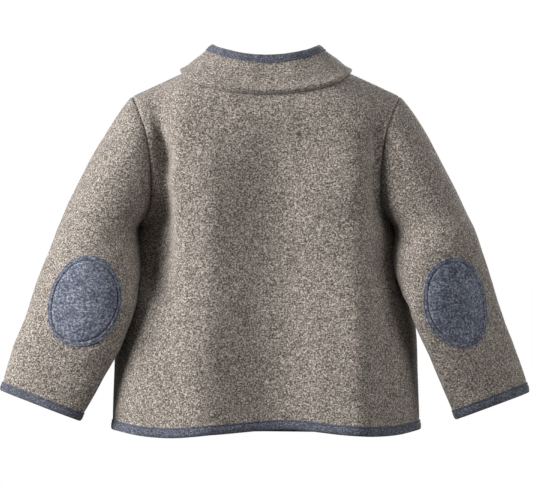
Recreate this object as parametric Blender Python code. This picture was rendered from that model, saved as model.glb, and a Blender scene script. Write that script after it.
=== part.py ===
"""A toddler's jacket of felted wool, hollow and filled out, with its back towards -Y.

Metres, +Z up.  The origin lies at the base of the neck, midway between the shoulders
and midway between back and front.  Every piece is a closed wall of cloth, cut and
sewn as the real one: a back, two fronts that lap at the middle, two set-in sleeves,
a stand collar, jersey strips that bind the edges, two felt elbow patches and a row
of buttons.  Sides are the wearer's own, so the left sleeve is at -X.
"""
import math

import bmesh
import bpy
from mathutils import Vector

# Thickness of the cloths, and the space left between pieces.
WOOL = 0.0025
JERSEY = 0.0012
PATCH_FELT = 0.0016
SEAM_GAP = 0.0003
ARMHOLE_GAP = 0.0004
PATCH_GAP = 0.0007
BINDING_GAP = 0.0004

# Neck, shoulders and armholes of the body.
NECK_HALF_WIDTH = 0.083
NECK_SIDE_Z = 0.003
NECK_BACK_DROP = 0.0223
NECK_FRONT_DROP = 0.053
NECK_DIP_POWER = 1.25
SHOULDER_X = 0.134
SHOULDER_Z = -0.0205
SHOULDER_ROUND = 0.045
NECK_ROUND = 0.078
ARMPIT_Z = -0.150

# Outline of the body, from hem to shoulders.  Above the armpit the half width is
# that of the form the cloth hangs on, and the armhole is cut out of it.
BODY_COLUMNS = ("height", "half_width", "back_depth", "front_depth", "squareness")
BODY = (
    (-0.365, 0.1545, 0.076, 0.074, 2.5),
    (-0.300, 0.1525, 0.075, 0.074, 2.5),
    (-0.254, 0.1505, 0.073, 0.074, 2.3),
    (-0.226, 0.1460, 0.071, 0.073, 2.1),
    (-0.205, 0.1385, 0.069, 0.072, 2.0),
    (-0.178, 0.1295, 0.067, 0.070, 2.0),
    (-0.150, 0.1265, 0.067, 0.068, 2.1),
    (-0.110, 0.1330, 0.067, 0.065, 2.4),
    (-0.070, 0.1400, 0.065, 0.060, 2.4),
    (-0.020, 0.1520, 0.060, 0.054, 2.4),
    (0.010, 0.1560, 0.056, 0.050, 2.4),
)
ARMHOLE_COLUMNS = ("height", "half_width")
ARMHOLE = (
    (-0.150, 0.1265),
    (-0.141, 0.1203),
    (-0.130, 0.1172),
    (-0.108, 0.1160),
    (-0.080, 0.1175),
    (-0.050, 0.1230),
    (-0.035, 0.1285),
    (-0.0205, 0.1340),
)

# Lower edge of the bound hem across the back, and the level edge of the fronts.
HEM_COLUMNS = ("across", "height")
BACK_HEM = (
    (-0.1545, -0.3545),
    (-0.128, -0.3600),
    (-0.102, -0.3622),
    (-0.050, -0.3588),
    (0.024, -0.3540),
    (0.085, -0.3598),
    (0.111, -0.3608),
    (0.136, -0.3588),
    (0.1545, -0.3545),
)
FRONT_HEM = (
    (0.0, -0.3575),
    (0.060, -0.3580),
    (0.110, -0.3580),
    (0.1545, -0.3545),
)

# Large soft folds of the body: a height below zero is a trough.
FOLD_COLUMNS = ("x_chest", "x_hem", "head", "height", "half_width")
BACK_FOLDS = (
    (-0.062, -0.066, -0.045, 0.0050, 0.034),
    (0.014, 0.016, -0.040, -0.0065, 0.036),
    (0.090, 0.098, -0.080, 0.0050, 0.030),
)
FRONT_FOLDS = (
    (-0.070, -0.084, -0.090, 0.0040, 0.026),
    (-0.105, -0.050, -0.070, -0.0040, 0.022),
    (0.048, 0.060, -0.060, -0.0040, 0.026),
    (0.082, 0.096, -0.110, 0.0045, 0.024),
)
FOLD_FADE = 0.090
FOLD_CHEST_Z = -0.120
FOLD_HEM_Z = -0.355
# The folds die out towards the side seams, the faster the higher this power.
FLANK_POWER = 4

# Lap of the fronts: the left one lies over the right one.
LAP_HALF = 0.011
LAP_LIFT = 0.0063
LAP_FULL_X = 0.018
LAP_START_X = 0.050

# Stand collar, from the neck seam to its bound upper edge.
COLLAR_TOP_HALF_WIDTH = 0.0525
COLLAR_TOP_BACK_Y = 0.041
COLLAR_TOP_FRONT_Y = 0.042
COLLAR_TOP_SIDE_Z = 0.0310
COLLAR_TOP_BACK_Z = 0.0205
COLLAR_TOP_FRONT_Z = -0.0120
COLLAR_TOP_POWER = 1.6
COLLAR_BULGE = 0.0036
COLLAR_BULGE_POWER = 0.6
COLLAR_ROWS = (0.10, 0.32, 0.56)
# The collar leaves the neck seam on the side away from this direction.
DOWNWARD = Vector((0.0, 0.0, -1.0))

# Jersey strips that bind the edges.
BINDING_WIDTH = 0.0095
COLLAR_BINDING_WIDTH = 0.0085
# Share of the strip's reach that its rounded fold keeps at its corners.
BINDING_CORNER = 0.3

# Sections of each sleeve, square to its own length, from the underarm to the cuff.
# "out" is the distance from the middle of the body, "roll" turns the flattened tube
# so that its outer edge lies further forward than its inner edge.
SLEEVE_COLUMNS = ("along", "out", "forward", "height", "half_width", "half_depth", "roll")
SLEEVE_LEFT = (
    (0.000, 0.1668, -0.010, -0.1420, 0.0345, 0.0460, 0.0),
    (0.030, 0.1676, -0.0295, -0.1712, 0.0450, 0.0385, 9.0),
    (0.058, 0.1735, -0.0405, -0.1995, 0.0500, 0.0300, 12.0),
    (0.082, 0.1808, -0.0405, -0.2215, 0.0520, 0.0260, 12.0),
    (0.115, 0.1920, -0.0370, -0.2540, 0.0510, 0.0240, 12.0),
    (0.154, 0.2087, -0.031, -0.2890, 0.0485, 0.0215, 12.0),
    (0.191, 0.2230, -0.027, -0.3230, 0.0445, 0.0185, 12.0),
    (0.200, 0.2260, -0.026, -0.3305, 0.0432, 0.0180, 12.0),
)
SLEEVE_RIGHT = (
    (0.000, 0.1666, -0.008, -0.1444, 0.0345, 0.0460, 0.0),
    (0.025, 0.1676, -0.026, -0.1690, 0.0440, 0.0395, 20.0),
    (0.048, 0.1735, -0.028, -0.1910, 0.0480, 0.0320, 31.0),
    (0.070, 0.1820, -0.0250, -0.2115, 0.0510, 0.0265, 37.0),
    (0.095, 0.1900, -0.0205, -0.2350, 0.0530, 0.0245, 40.0),
    (0.133, 0.2040, -0.0170, -0.2700, 0.0510, 0.0220, 39.0),
    (0.167, 0.2165, -0.0160, -0.3015, 0.0480, 0.0200, 35.0),
    (0.192, 0.2250, -0.0160, -0.3250, 0.0450, 0.0185, 31.0),
    (0.198, 0.2270, -0.0160, -0.3310, 0.0438, 0.0180, 30.0),
)
SLEEVE_TILT = {"left": 21.0, "right": 20.0}
SLEEVE_CAP_BULGE = 0.0075
CAP_BULGE_POWER = 0.7
CAP_BULGE_RISE = 0.5
CAP_STATIONS = (0.10, 0.28, 0.52, 0.77)
SLEEVE_STATIONS = 12

# Felt patches on the backs of the elbows.
PATCH_ALONG = {"left": 0.0905, "right": 0.0875}
PATCH_ACROSS = {"left": -0.002, "right": -0.009}
PATCH_HALF_WIDTH = 0.0375
PATCH_HALF_LENGTH = 0.0480
PATCH_RINGS = (0.0, 0.35, 0.68, 0.92, 1.0)
PATCH_RIM_DROP = 0.0007
PATCH_SEGMENTS = 24
# Small steps that give the slope of the cloth under a patch or a button.
TURN_STEP = 2.0
ALONG_STEP = 0.002
BUTTON_SLOPE_STEP = 0.004

# Buttons down the middle of the fronts.
BUTTON_COUNT = 5
BUTTON_RADIUS = 0.0075
BUTTON_THICKNESS = 0.0026
BUTTON_EDGE = 0.0006
BUTTON_TOP_Z = -0.078
BUTTON_STEP = 0.058
BUTTON_SEAT = 0.0005

# Density of the walls.
NECK_ANGLES = (0.0, 15.0, 30.0, 45.0, 60.0, 75.0, 90.0)
SHOULDER_SHARES = (0.2, 0.4, 0.6, 0.76, 0.90, 1.0)
ROWS_BELOW_ARMPIT = 8
ROWS_ABOVE_ARMPIT = 10
# Degrees from which an edge between two faces shows as a crisp one.
SHARP_ANGLE = 50.0

# Colour, roughness and metallic value of each cloth and of the buttons.
FINISHES = {
    "wool": ((0.190, 0.165, 0.150), 0.95, 0.0),
    "jersey": ((0.165, 0.190, 0.215), 0.92, 0.0),
    "patch_felt": ((0.175, 0.200, 0.225), 0.95, 0.0),
    "button": ((0.120, 0.105, 0.095), 0.55, 0.0),
}


def read_table(rows, columns, name, at):
    """Smooth value of one named column of a table at a place in its first column."""
    column = columns.index(name)
    places = [row[0] for row in rows]
    values = [row[column] for row in rows]
    at = min(max(at, places[0]), places[-1])
    last = len(rows) - 1
    steps = [places[i + 1] - places[i] for i in range(last)]
    slopes = [(values[i + 1] - values[i]) / steps[i] for i in range(last)]
    tangents = [slopes[0]]
    for i in range(1, last):
        both = steps[i - 1] + steps[i]
        tangents.append((slopes[i - 1] * steps[i] + slopes[i] * steps[i - 1]) / both)
    tangents.append(slopes[-1])
    i = 0
    while i < last - 1 and at > places[i + 1]:
        i += 1
    t = (at - places[i]) / steps[i]
    start = (1 + 2 * t) * (1 - t) ** 2 * values[i] + t * (1 - t) ** 2 * steps[i] * tangents[i]
    end = t * t * (3 - 2 * t) * values[i + 1] - t * t * (1 - t) * steps[i] * tangents[i + 1]
    return start + end


def ease(t):
    """Soft step from 0 to 1."""
    t = min(max(t, 0.0), 1.0)
    return t * t * (3 - 2 * t)


def edge_half_width(z):
    """Half width of the body at its side seam, or at the armhole above it."""
    if z > ARMPIT_Z:
        return read_table(ARMHOLE, ARMHOLE_COLUMNS, "half_width", z)
    return read_table(BODY, BODY_COLUMNS, "half_width", z)


def fold_height(folds, x, z):
    """How far the large folds lift the cloth at a place on the body."""
    total = 0.0
    for row in folds:
        fold = dict(zip(FOLD_COLUMNS, row))
        down = (FOLD_CHEST_Z - z) / (FOLD_CHEST_Z - FOLD_HEM_Z)
        middle = fold["x_chest"] + (fold["x_hem"] - fold["x_chest"]) * down
        fade = ease((fold["head"] - z) / FOLD_FADE)
        total += fold["height"] * fade * math.exp(-((x - middle) / fold["half_width"]) ** 2)
    return total


def ridge_height(x):
    """Height of the shoulder line, carried on smoothly over the opening of the neck."""
    slope = (NECK_SIDE_Z - SHOULDER_Z) / (SHOULDER_X - NECK_HALF_WIDTH)
    inward = NECK_HALF_WIDTH - abs(x)
    if inward < 0:
        return NECK_SIDE_Z + slope * inward
    return NECK_SIDE_Z + slope * inward * (1 - 0.5 * inward / NECK_HALF_WIDTH)


def top_height(x_top, facing):
    """Height of the neckline, or of the shoulder seam outside it."""
    across = abs(x_top)
    if across >= NECK_HALF_WIDTH:
        return ridge_height(across)
    drop = NECK_FRONT_DROP if facing > 0 else NECK_BACK_DROP
    inward = math.sqrt(1 - (across / NECK_HALF_WIDTH) ** 2)
    return NECK_SIDE_Z - drop * inward ** NECK_DIP_POWER


def lap_lift(x):
    """Forward lift of the left front where it lies over the right one."""
    return LAP_LIFT * ease((x + LAP_START_X) / (LAP_START_X - LAP_FULL_X))


def body_point(share, z, z_outer, facing):
    """A point of the body's outer face: facing is -1 on the back and 1 on the fronts."""
    x = share * edge_half_width(z_outer)
    form_width = read_table(BODY, BODY_COLUMNS, "half_width", z)
    if z <= ARMPIT_Z:
        form_width = edge_half_width(z_outer)
    depth = read_table(BODY, BODY_COLUMNS, "front_depth" if facing > 0 else "back_depth", z)
    power = read_table(BODY, BODY_COLUMNS, "squareness", z)
    inside = max(0.0, 1 - min(1.0, abs(x) / form_width) ** power)
    folds = FRONT_FOLDS if facing > 0 else BACK_FOLDS
    lift = fold_height(folds, x, z) * (1 - abs(share) ** FLANK_POWER)
    reach = NECK_ROUND + (SHOULDER_ROUND - NECK_ROUND) * ease(abs(x) / NECK_HALF_WIDTH)
    drop = min(1.0, max(0.0, ridge_height(x) - z) / reach)
    closure = math.sqrt(1 - (1 - drop) ** 2)
    return Vector((x, facing * (depth * inside ** (1 / power) + lift) * closure, z))


def panel_rows(z_hem, z_top):
    """Heights of a panel's rows: bound hem, armpit and shoulder each lie on one."""
    z_edge = z_hem + BINDING_GAP + JERSEY
    z_strip = z_hem + BINDING_WIDTH
    heights = [z_edge]
    for row in range(ROWS_BELOW_ARMPIT):
        heights.append(z_strip + (ARMPIT_Z - z_strip) * row / (ROWS_BELOW_ARMPIT - 1))
    for row in range(1, ROWS_ABOVE_ARMPIT + 1):
        rise = (1 - math.cos(math.pi * row / ROWS_ABOVE_ARMPIT)) / 2
        heights.append(ARMPIT_Z + (z_top - ARMPIT_Z) * rise)
    return heights


def grid_normals(grid, flip, closed):
    """Unit normals of a grid of points, row by row."""
    rows, columns = len(grid), len(grid[0])
    normals = []
    for i in range(rows):
        line = []
        for j in range(columns):
            up = grid[min(i + 1, rows - 1)][j] - grid[max(i - 1, 0)][j]
            if closed:
                across = grid[i][(j + 1) % columns] - grid[i][j - 1]
            else:
                across = grid[i][min(j + 1, columns - 1)] - grid[i][max(j - 1, 0)]
            line.append(across.cross(up).normalized() * flip)
        normals.append(line)
    return normals


def set_seam_normals(grid, normals, tops):
    """Square the wall to its side seams and shoulder seams."""
    top = len(grid) - 1
    slope = math.atan2(NECK_SIDE_Z - SHOULDER_Z, SHOULDER_X - NECK_HALF_WIDTH)
    for j, x_top in enumerate(tops):
        side = 1 if x_top > 0 else -1
        if abs(x_top) >= NECK_HALF_WIDTH - 1e-6:
            normals[top][j] = Vector((side * math.sin(slope), 0, math.cos(slope)))
        if abs(abs(x_top) - SHOULDER_X) < 1e-6:
            for i in range(ROWS_BELOW_ARMPIT):
                rise = grid[i + 1][j] - grid[max(i - 1, 0)][j]
                normals[i][j] = Vector((side * rise.z, 0, -side * rise.x)).normalized()


def make_panel(tops, facing, hem, lapped):
    """Outer and inner faces of one body panel, from the places of its top edge."""
    reach = SHOULDER_X
    columns = []
    for x_top in tops:
        share = x_top / reach
        x_hem = share * BODY[0][1]
        z_hem = read_table(hem, HEM_COLUMNS, "height", x_hem if facing < 0 else abs(x_hem))
        side_hem = read_table(hem, HEM_COLUMNS, "height", BODY[0][1])
        heights = panel_rows(z_hem, top_height(x_top, facing))
        outer_heights = panel_rows(side_hem, SHOULDER_Z)
        column = []
        for z, z_outer in zip(heights, outer_heights):
            point = body_point(share, z, z_outer, facing)
            if lapped:
                point.y += lap_lift(point.x)
            column.append(point)
        columns.append(column)
    grid = [[column[i] for column in columns] for i in range(len(columns[0]))]
    normals = grid_normals(grid, -facing, False)
    set_seam_normals(grid, normals, tops)
    inner = [[p - n * WOOL for p, n in zip(line, row)] for line, row in zip(grid, normals)]
    half_gap = facing * SEAM_GAP / 2
    for face in (grid, inner):
        for j, x_top in enumerate(tops):
            if abs(x_top) >= NECK_HALF_WIDTH - 1e-6:
                face[-1][j].y = half_gap
            if abs(abs(x_top) - SHOULDER_X) < 1e-6:
                for i in range(ROWS_BELOW_ARMPIT + 1):
                    face[i][j].y = half_gap
    return {"outer": grid, "inner": inner, "normals": normals, "tops": tops}


def neck_places(angles):
    """Places across the neckline at equal turns round the neck."""
    return [NECK_HALF_WIDTH * math.sin(math.radians(angle)) for angle in angles]


def shoulder_places():
    """Places across the shoulder seam, from the neck to the armhole."""
    return [NECK_HALF_WIDTH + share * (SHOULDER_X - NECK_HALF_WIDTH) for share in SHOULDER_SHARES]


def body_panels():
    """The back and the two fronts."""
    half = neck_places(NECK_ANGLES) + shoulder_places()
    mirrored = [-x for x in reversed(half[1:])]
    back = make_panel(mirrored + half, -1, BACK_HEM, False)
    left = make_panel(mirrored + [0.0, LAP_HALF], 1, FRONT_HEM, True)
    right = make_panel([-LAP_HALF, 0.0] + half[1:], 1, FRONT_HEM, False)
    return back, left, right


def edge_start(points, inner_points, neighbours, closed, gap):
    """Move a seam edge off its panel by the seam's gap, square to the panel's rim."""
    count = len(points)
    outer, inner = [], []
    for i in range(count):
        before = points[i - 1] if closed or i > 0 else points[i]
        after = points[(i + 1) % count] if closed or i < count - 1 else points[i]
        away = (after - before).cross(points[i] - inner_points[i]).normalized()
        if away.dot(points[i] - neighbours[i]) < 0:
            away.negate()
        outer.append(points[i] + away * gap)
        inner.append(inner_points[i] + away * gap)
    return outer, inner


def armhole_loop(back, front, side):
    """Edge of the armhole, from the shoulder down the back and up the front."""
    top = ROWS_BELOW_ARMPIT + ROWS_ABOVE_ARMPIT
    edge, inboard = (0, 1) if side < 0 else (-1, -2)
    points, inners, neighbours = [], [], []
    for turn in range(2 * ROWS_ABOVE_ARMPIT):
        panel = back if turn <= ROWS_ABOVE_ARMPIT else front
        row = top - turn if turn <= ROWS_ABOVE_ARMPIT else turn + ROWS_BELOW_ARMPIT - ROWS_ABOVE_ARMPIT
        point = panel["outer"][row][edge].copy()
        inner = panel["inner"][row][edge].copy()
        neighbour = panel["outer"][row][inboard].copy()
        if turn == ROWS_ABOVE_ARMPIT:
            neighbour = panel["outer"][row - 1][edge].copy()
        if turn in (0, ROWS_ABOVE_ARMPIT):
            point.y = 0.0
            inner.y = 0.0
            neighbour.y = 0.0
        points.append(point)
        inners.append(inner)
        neighbours.append(neighbour)
    return edge_start(points, inners, neighbours, True, ARMHOLE_GAP)


def sleeve_frame(side, along):
    """Centre, outward and backward directions and half sizes of a sleeve's section."""
    rows = SLEEVE_LEFT if side < 0 else SLEEVE_RIGHT
    tilt = math.radians(SLEEVE_TILT["left" if side < 0 else "right"])
    value = {name: read_table(rows, SLEEVE_COLUMNS, name, along) for name in SLEEVE_COLUMNS}
    roll = math.radians(value["roll"])
    centre = Vector((side * value["out"], value["forward"], value["height"]))
    outward = Vector((side * math.cos(tilt), 0, math.sin(tilt)))
    forward = Vector((0, 1, 0))
    first = outward * math.cos(roll) + forward * math.sin(roll)
    second = outward * math.sin(roll) - forward * math.cos(roll)
    return centre, first, second, value["half_width"], value["half_depth"]


def sleeve_point(side, along, turn):
    """A point of the sleeve's outer face: turn is 0 at its outer edge, 90 at its back."""
    centre, first, second, half_width, half_depth = sleeve_frame(side, along)
    angle = math.radians(turn)
    return centre + first * (half_width * math.cos(angle)) + second * (half_depth * math.sin(angle))


def make_sleeve(side, back, front):
    """Outer and inner faces of a sleeve, ring by ring from the armhole to the cuff."""
    start, start_inner = armhole_loop(back, front, side)
    count = len(start)
    turns = [360.0 * j / count for j in range(count)]
    length = (SLEEVE_LEFT if side < 0 else SLEEVE_RIGHT)[-1][0]
    first_ring = [sleeve_point(side, 0.0, turn) for turn in turns]
    rings = [start]
    for station in CAP_STATIONS:
        ring = []
        for j, turn in enumerate(turns):
            angle = math.radians(turn)
            fullness = 1 - ((1 - math.cos(angle)) / 2) ** 2
            swell = SLEEVE_CAP_BULGE * fullness * math.sin(math.pi * station ** CAP_BULGE_POWER)
            out_x = side * max(0.0, math.cos(angle))
            out = Vector((out_x, -math.sin(angle), CAP_BULGE_RISE * math.cos(angle)))
            ring.append(start[j].lerp(first_ring[j], station) + out * swell)
        rings.append(ring)
    strip_start = length - BINDING_WIDTH
    for station in range(SLEEVE_STATIONS + 1):
        along = strip_start * station / SLEEVE_STATIONS
        rings.append([sleeve_point(side, along, turn) for turn in turns])
    rings.append([sleeve_point(side, length - BINDING_GAP - JERSEY, turn) for turn in turns])
    normals = grid_normals(rings, side, True)
    inner = [[p - n * WOOL for p, n in zip(ring, row)] for ring, row in zip(rings, normals)]
    inner[0] = start_inner
    return {"outer": rings, "inner": inner, "normals": normals}


def collar_top(angle):
    """A point of the collar's finished upper edge: angle is 0 at the back, 180 at the front."""
    turn = math.radians(angle)
    back_share = math.cos(turn)
    depth = COLLAR_TOP_BACK_Y if back_share > 0 else COLLAR_TOP_FRONT_Y
    end_z = COLLAR_TOP_BACK_Z if back_share > 0 else COLLAR_TOP_FRONT_Z
    z = COLLAR_TOP_SIDE_Z + (end_z - COLLAR_TOP_SIDE_Z) * abs(back_share) ** COLLAR_TOP_POWER
    return Vector((COLLAR_TOP_HALF_WIDTH * math.sin(turn), -depth * back_share, z))


def make_collar(back, left, right):
    """Outer and inner faces of the collar, from the neck seam to its upper edge."""
    edge_points, edge_inners, beneath, finish = [], [], [], []
    for panel, facing, order in ((right, 1, 1), (back, -1, -1), (left, 1, 1)):
        columns = [j for j, x in enumerate(panel["tops"]) if abs(x) <= NECK_HALF_WIDTH + 1e-6]
        if facing < 0:
            columns = columns[1:-1]
        for j in columns[::order]:
            x_top = panel["tops"][j]
            turn = math.degrees(math.asin(max(-1.0, min(1.0, x_top / NECK_HALF_WIDTH))))
            top = collar_top(turn if facing < 0 else 180 - turn)
            if panel is left:
                top.y += lap_lift(top.x)
            finish.append(top)
            edge_points.append(panel["outer"][-1][j])
            edge_inners.append(panel["inner"][-1][j])
            beneath.append(panel["outer"][-1][j] + DOWNWARD)
    start, start_inner = edge_start(edge_points, edge_inners, beneath, False, SEAM_GAP)
    height_at = [(top - point).length for point, top in zip(start, finish)]
    shares = list(COLLAR_ROWS) + ["strip", "edge"]
    rows = [start]
    for share in shares:
        row = []
        for k, (point, top) in enumerate(zip(start, finish)):
            part = share
            if share == "strip":
                part = 1 - COLLAR_BINDING_WIDTH / height_at[k]
            if share == "edge":
                part = 1 - (BINDING_GAP + JERSEY) / height_at[k]
            out = Vector((point.x, point.y, 0)).normalized()
            swell = COLLAR_BULGE * math.sin(math.pi * min(1.0, part ** COLLAR_BULGE_POWER))
            row.append(point.lerp(top, part) + out * swell)
        rows.append(row)
    normals = grid_normals(rows, -1, False)
    inner = [[p - n * WOOL for p, n in zip(ring, row)] for ring, row in zip(rows, normals)]
    inner[0] = start_inner
    return {"outer": rows, "inner": inner, "normals": normals}


def binding_rings(edge, strip):
    """Sections of a strip folded over an edge: edge and strip hold outer, inner, normal."""
    rings = []
    reach = BINDING_GAP + JERSEY
    for (e_out, e_in, e_n), (s_out, s_in, s_n) in zip(edge, strip):
        off = (e_out - s_out).normalized()
        rings.append([
            s_out + s_n * reach,
            e_out + e_n * reach,
            e_out + e_n * (BINDING_CORNER * reach) + off * reach,
            e_in - e_n * (BINDING_CORNER * reach) + off * reach,
            e_in - e_n * reach,
            s_in - s_n * reach,
            s_in - s_n * BINDING_GAP,
            e_in - e_n * BINDING_GAP + off * BINDING_GAP,
            e_out + e_n * BINDING_GAP + off * BINDING_GAP,
            s_out + s_n * BINDING_GAP,
        ])
    return rings


def row_samples(piece, row, order=1, skip_last=False):
    """Outer point, inner point and normal along one row of a piece."""
    samples = list(zip(piece["outer"][row], piece["inner"][row], piece["normals"][row]))[::order]
    return samples[:-1] if skip_last else samples


def hem_samples(back, left, right, row):
    """One row of the hem from the right front round the back to the left front."""
    samples = row_samples(right, row, 1, True)
    samples += row_samples(back, row, -1, True)
    samples += row_samples(left, row, 1)
    return samples


def patch_faces(side):
    """Outer and inner faces of an elbow patch, ring by ring from its middle."""
    along = PATCH_ALONG["left" if side < 0 else "right"]
    middle = PATCH_ACROSS["left" if side < 0 else "right"]
    length = (SLEEVE_LEFT if side < 0 else SLEEVE_RIGHT)[-1][0]
    ring_step = (length - BINDING_WIDTH) / SLEEVE_STATIONS
    outer, inner = [], []
    for share in PATCH_RINGS:
        lower, upper = [], []
        for j in range(PATCH_SEGMENTS):
            angle = 2 * math.pi * j / PATCH_SEGMENTS
            across = middle + PATCH_HALF_WIDTH * share * math.cos(angle)
            down = along + PATCH_HALF_LENGTH * share * math.sin(angle)
            turn = turn_at(side, down, across)
            before = math.floor(down / ring_step) * ring_step
            low = sleeve_point(side, before, turn)
            high = sleeve_point(side, before + ring_step, turn)
            point = low.lerp(high, (down - before) / ring_step)
            step_turn = sleeve_point(side, down, turn + TURN_STEP)
            step_turn -= sleeve_point(side, down, turn - TURN_STEP)
            step_down = sleeve_point(side, down + ALONG_STEP, turn)
            step_down -= sleeve_point(side, down - ALONG_STEP, turn)
            normal = step_turn.cross(step_down).normalized() * side
            rim = PATCH_RIM_DROP if share == PATCH_RINGS[-1] else 0.0
            lower.append(point + normal * PATCH_GAP)
            upper.append(point + normal * (PATCH_GAP + PATCH_FELT - rim))
        inner.append(lower)
        outer.append(upper)
    return outer, inner


def turn_at(side, along, across):
    """Turn round the sleeve at a distance across it from the middle of its back."""
    half_width, half_depth = sleeve_frame(side, along)[3:]
    turn, left = 90.0, abs(across)
    step = -1.0 if across > 0 else 1.0
    while left > 0:
        angle = math.radians(turn)
        reach = math.hypot(half_width * math.sin(angle), half_depth * math.cos(angle))
        per_degree = math.radians(reach)
        used = min(left, per_degree)
        turn += step * used / per_degree
        left -= used
    return turn


def finish_for(name):
    """The material of one cloth, or of the buttons."""
    material = bpy.data.materials.get(name)
    if material is None:
        colour, roughness, metallic = FINISHES[name]
        material = bpy.data.materials.new(name)
        material.use_nodes = True
        shader = material.node_tree.nodes["Principled BSDF"]
        shader.inputs["Base Color"].default_value = (*colour, 1.0)
        shader.inputs["Roughness"].default_value = roughness
        shader.inputs["Metallic"].default_value = metallic
        material.diffuse_color = (*colour, 1.0)
    return material


def add_object(name, bm, finish):
    """Turn a closed bmesh into a named object with outward faces.

    Rims that meet at a seam are split alike, so that their faces stay a gap apart.
    """
    bmesh.ops.recalc_face_normals(bm, faces=bm.faces)
    bmesh.ops.triangulate(bm, faces=bm.faces, quad_method="SHORT_EDGE")
    mesh = bpy.data.meshes.new(name)
    bm.to_mesh(mesh)
    bm.free()
    mesh.shade_smooth()
    mesh.set_sharp_from_angle(angle=math.radians(SHARP_ANGLE))
    mesh.materials.append(finish_for(finish))
    piece = bpy.data.objects.new(name, mesh)
    bpy.context.scene.collection.objects.link(piece)
    return piece


def add_wall(name, outer, inner, closed, finish):
    """A wall of cloth between two grids of points that have the same rows."""
    bm = bmesh.new()
    skins = [[[bm.verts.new(point) for point in row] for row in face] for face in (outer, inner)]
    rows, columns = len(outer), len(outer[0])
    spans = columns if closed else columns - 1
    for skin in skins:
        for i in range(rows - 1):
            for j in range(spans):
                k = (j + 1) % columns
                bm.faces.new((skin[i][j], skin[i][k], skin[i + 1][k], skin[i + 1][j]))
    for i in (0, rows - 1):
        for j in range(spans):
            k = (j + 1) % columns
            bm.faces.new((skins[0][i][j], skins[0][i][k], skins[1][i][k], skins[1][i][j]))
    if not closed:
        for j in (0, columns - 1):
            for i in range(rows - 1):
                bm.faces.new((skins[0][i][j], skins[0][i + 1][j], skins[1][i + 1][j], skins[1][i][j]))
    return add_object(name, bm, finish)


def add_strip(name, rings, closed, finish):
    """A strip of cloth swept through its sections."""
    bm = bmesh.new()
    loops = [[bm.verts.new(point) for point in ring] for ring in rings]
    spans = len(loops) if closed else len(loops) - 1
    size = len(loops[0])
    for i in range(spans):
        here, there = loops[i], loops[(i + 1) % len(loops)]
        for j in range(size):
            k = (j + 1) % size
            bm.faces.new((here[j], here[k], there[k], there[j]))
    if not closed:
        for loop in (loops[0], loops[-1]):
            half = size // 2
            for j in range(half - 1):
                bm.faces.new((loop[j], loop[j + 1], loop[size - 2 - j], loop[size - 1 - j]))
    return add_object(name, bm, finish)


def add_patch(name, side):
    """An oval of felt that lies on the back of a sleeve."""
    outer, inner = patch_faces(side)
    bm = bmesh.new()
    middles = [bm.verts.new(face[0][0]) for face in (outer, inner)]
    skins = [[[bm.verts.new(point) for point in row] for row in face[1:]] for face in (outer, inner)]
    for j in range(PATCH_SEGMENTS):
        k = (j + 1) % PATCH_SEGMENTS
        for middle, skin in zip(middles, skins):
            bm.faces.new((middle, skin[0][j], skin[0][k]))
            for i in range(len(skin) - 1):
                bm.faces.new((skin[i][j], skin[i][k], skin[i + 1][k], skin[i + 1][j]))
        rim_outer, rim_inner = skins[0][-1], skins[1][-1]
        bm.faces.new((rim_outer[j], rim_outer[k], rim_inner[k], rim_inner[j]))
    return add_object(name, bm, "patch_felt")


def add_button(name, z):
    """A round button that lies on the left front, over the middle of the lap."""
    def surface(x, height):
        point = body_point(x / edge_half_width(height), height, height, 1)
        point.y += lap_lift(x)
        return point
    step = BUTTON_SLOPE_STEP
    middle = surface(0.0, z)
    across = surface(step, z) - surface(-step, z)
    up = surface(0.0, z + step) - surface(0.0, z - step)
    normal = up.cross(across).normalized()
    if normal.y < 0:
        normal.negate()
    bm = bmesh.new()
    bmesh.ops.create_cone(
        bm, cap_ends=True, segments=20,
        radius1=BUTTON_RADIUS, radius2=BUTTON_RADIUS, depth=BUTTON_THICKNESS,
    )
    rims = [
        edge for edge in bm.edges
        if abs(edge.verts[0].co.z - edge.verts[1].co.z) < BUTTON_THICKNESS / 2
    ]
    bmesh.ops.bevel(bm, geom=rims, offset=BUTTON_EDGE, segments=1, affect="EDGES")
    button = add_object(name, bm, "button")
    button.location = middle + normal * (BUTTON_SEAT + BUTTON_THICKNESS / 2)
    button.rotation_mode = "QUATERNION"
    button.rotation_quaternion = normal.to_track_quat("Z", "Y")
    return button


def build_jacket():
    """Cut, sew and place every piece."""
    for old in list(bpy.data.objects):
        bpy.data.objects.remove(old, do_unlink=True)
    back, left, right = body_panels()
    for name, panel in (("back", back), ("front_left", left), ("front_right", right)):
        add_wall(name, panel["outer"], panel["inner"], False, "wool")
    for name, side, front in (("left", -1, left), ("right", 1, right)):
        sleeve = make_sleeve(side, back, front)
        add_wall("sleeve_" + name, sleeve["outer"], sleeve["inner"], True, "wool")
        cuff = binding_rings(row_samples(sleeve, -1), row_samples(sleeve, -2))
        add_strip("cuff_binding_" + name, cuff, True, "jersey")
        add_patch("elbow_patch_" + name, side)
    collar = make_collar(back, left, right)
    add_wall("collar", collar["outer"], collar["inner"], False, "wool")
    neck_strip = binding_rings(row_samples(collar, -1), row_samples(collar, -2))
    add_strip("collar_binding", neck_strip, False, "jersey")
    hem_strip = binding_rings(hem_samples(back, left, right, 0), hem_samples(back, left, right, 1))
    add_strip("hem_binding", hem_strip, False, "jersey")
    for number in range(BUTTON_COUNT):
        add_button("button_%d" % (number + 1), BUTTON_TOP_Z - BUTTON_STEP * number)


build_jacket()
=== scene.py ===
"""Looks of a toddler's jacket of felted wool, made piece by piece as it is sewn."""

import math

import bpy
from mathutils import Matrix, Vector, noise
from mathutils.kdtree import KDTree


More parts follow.
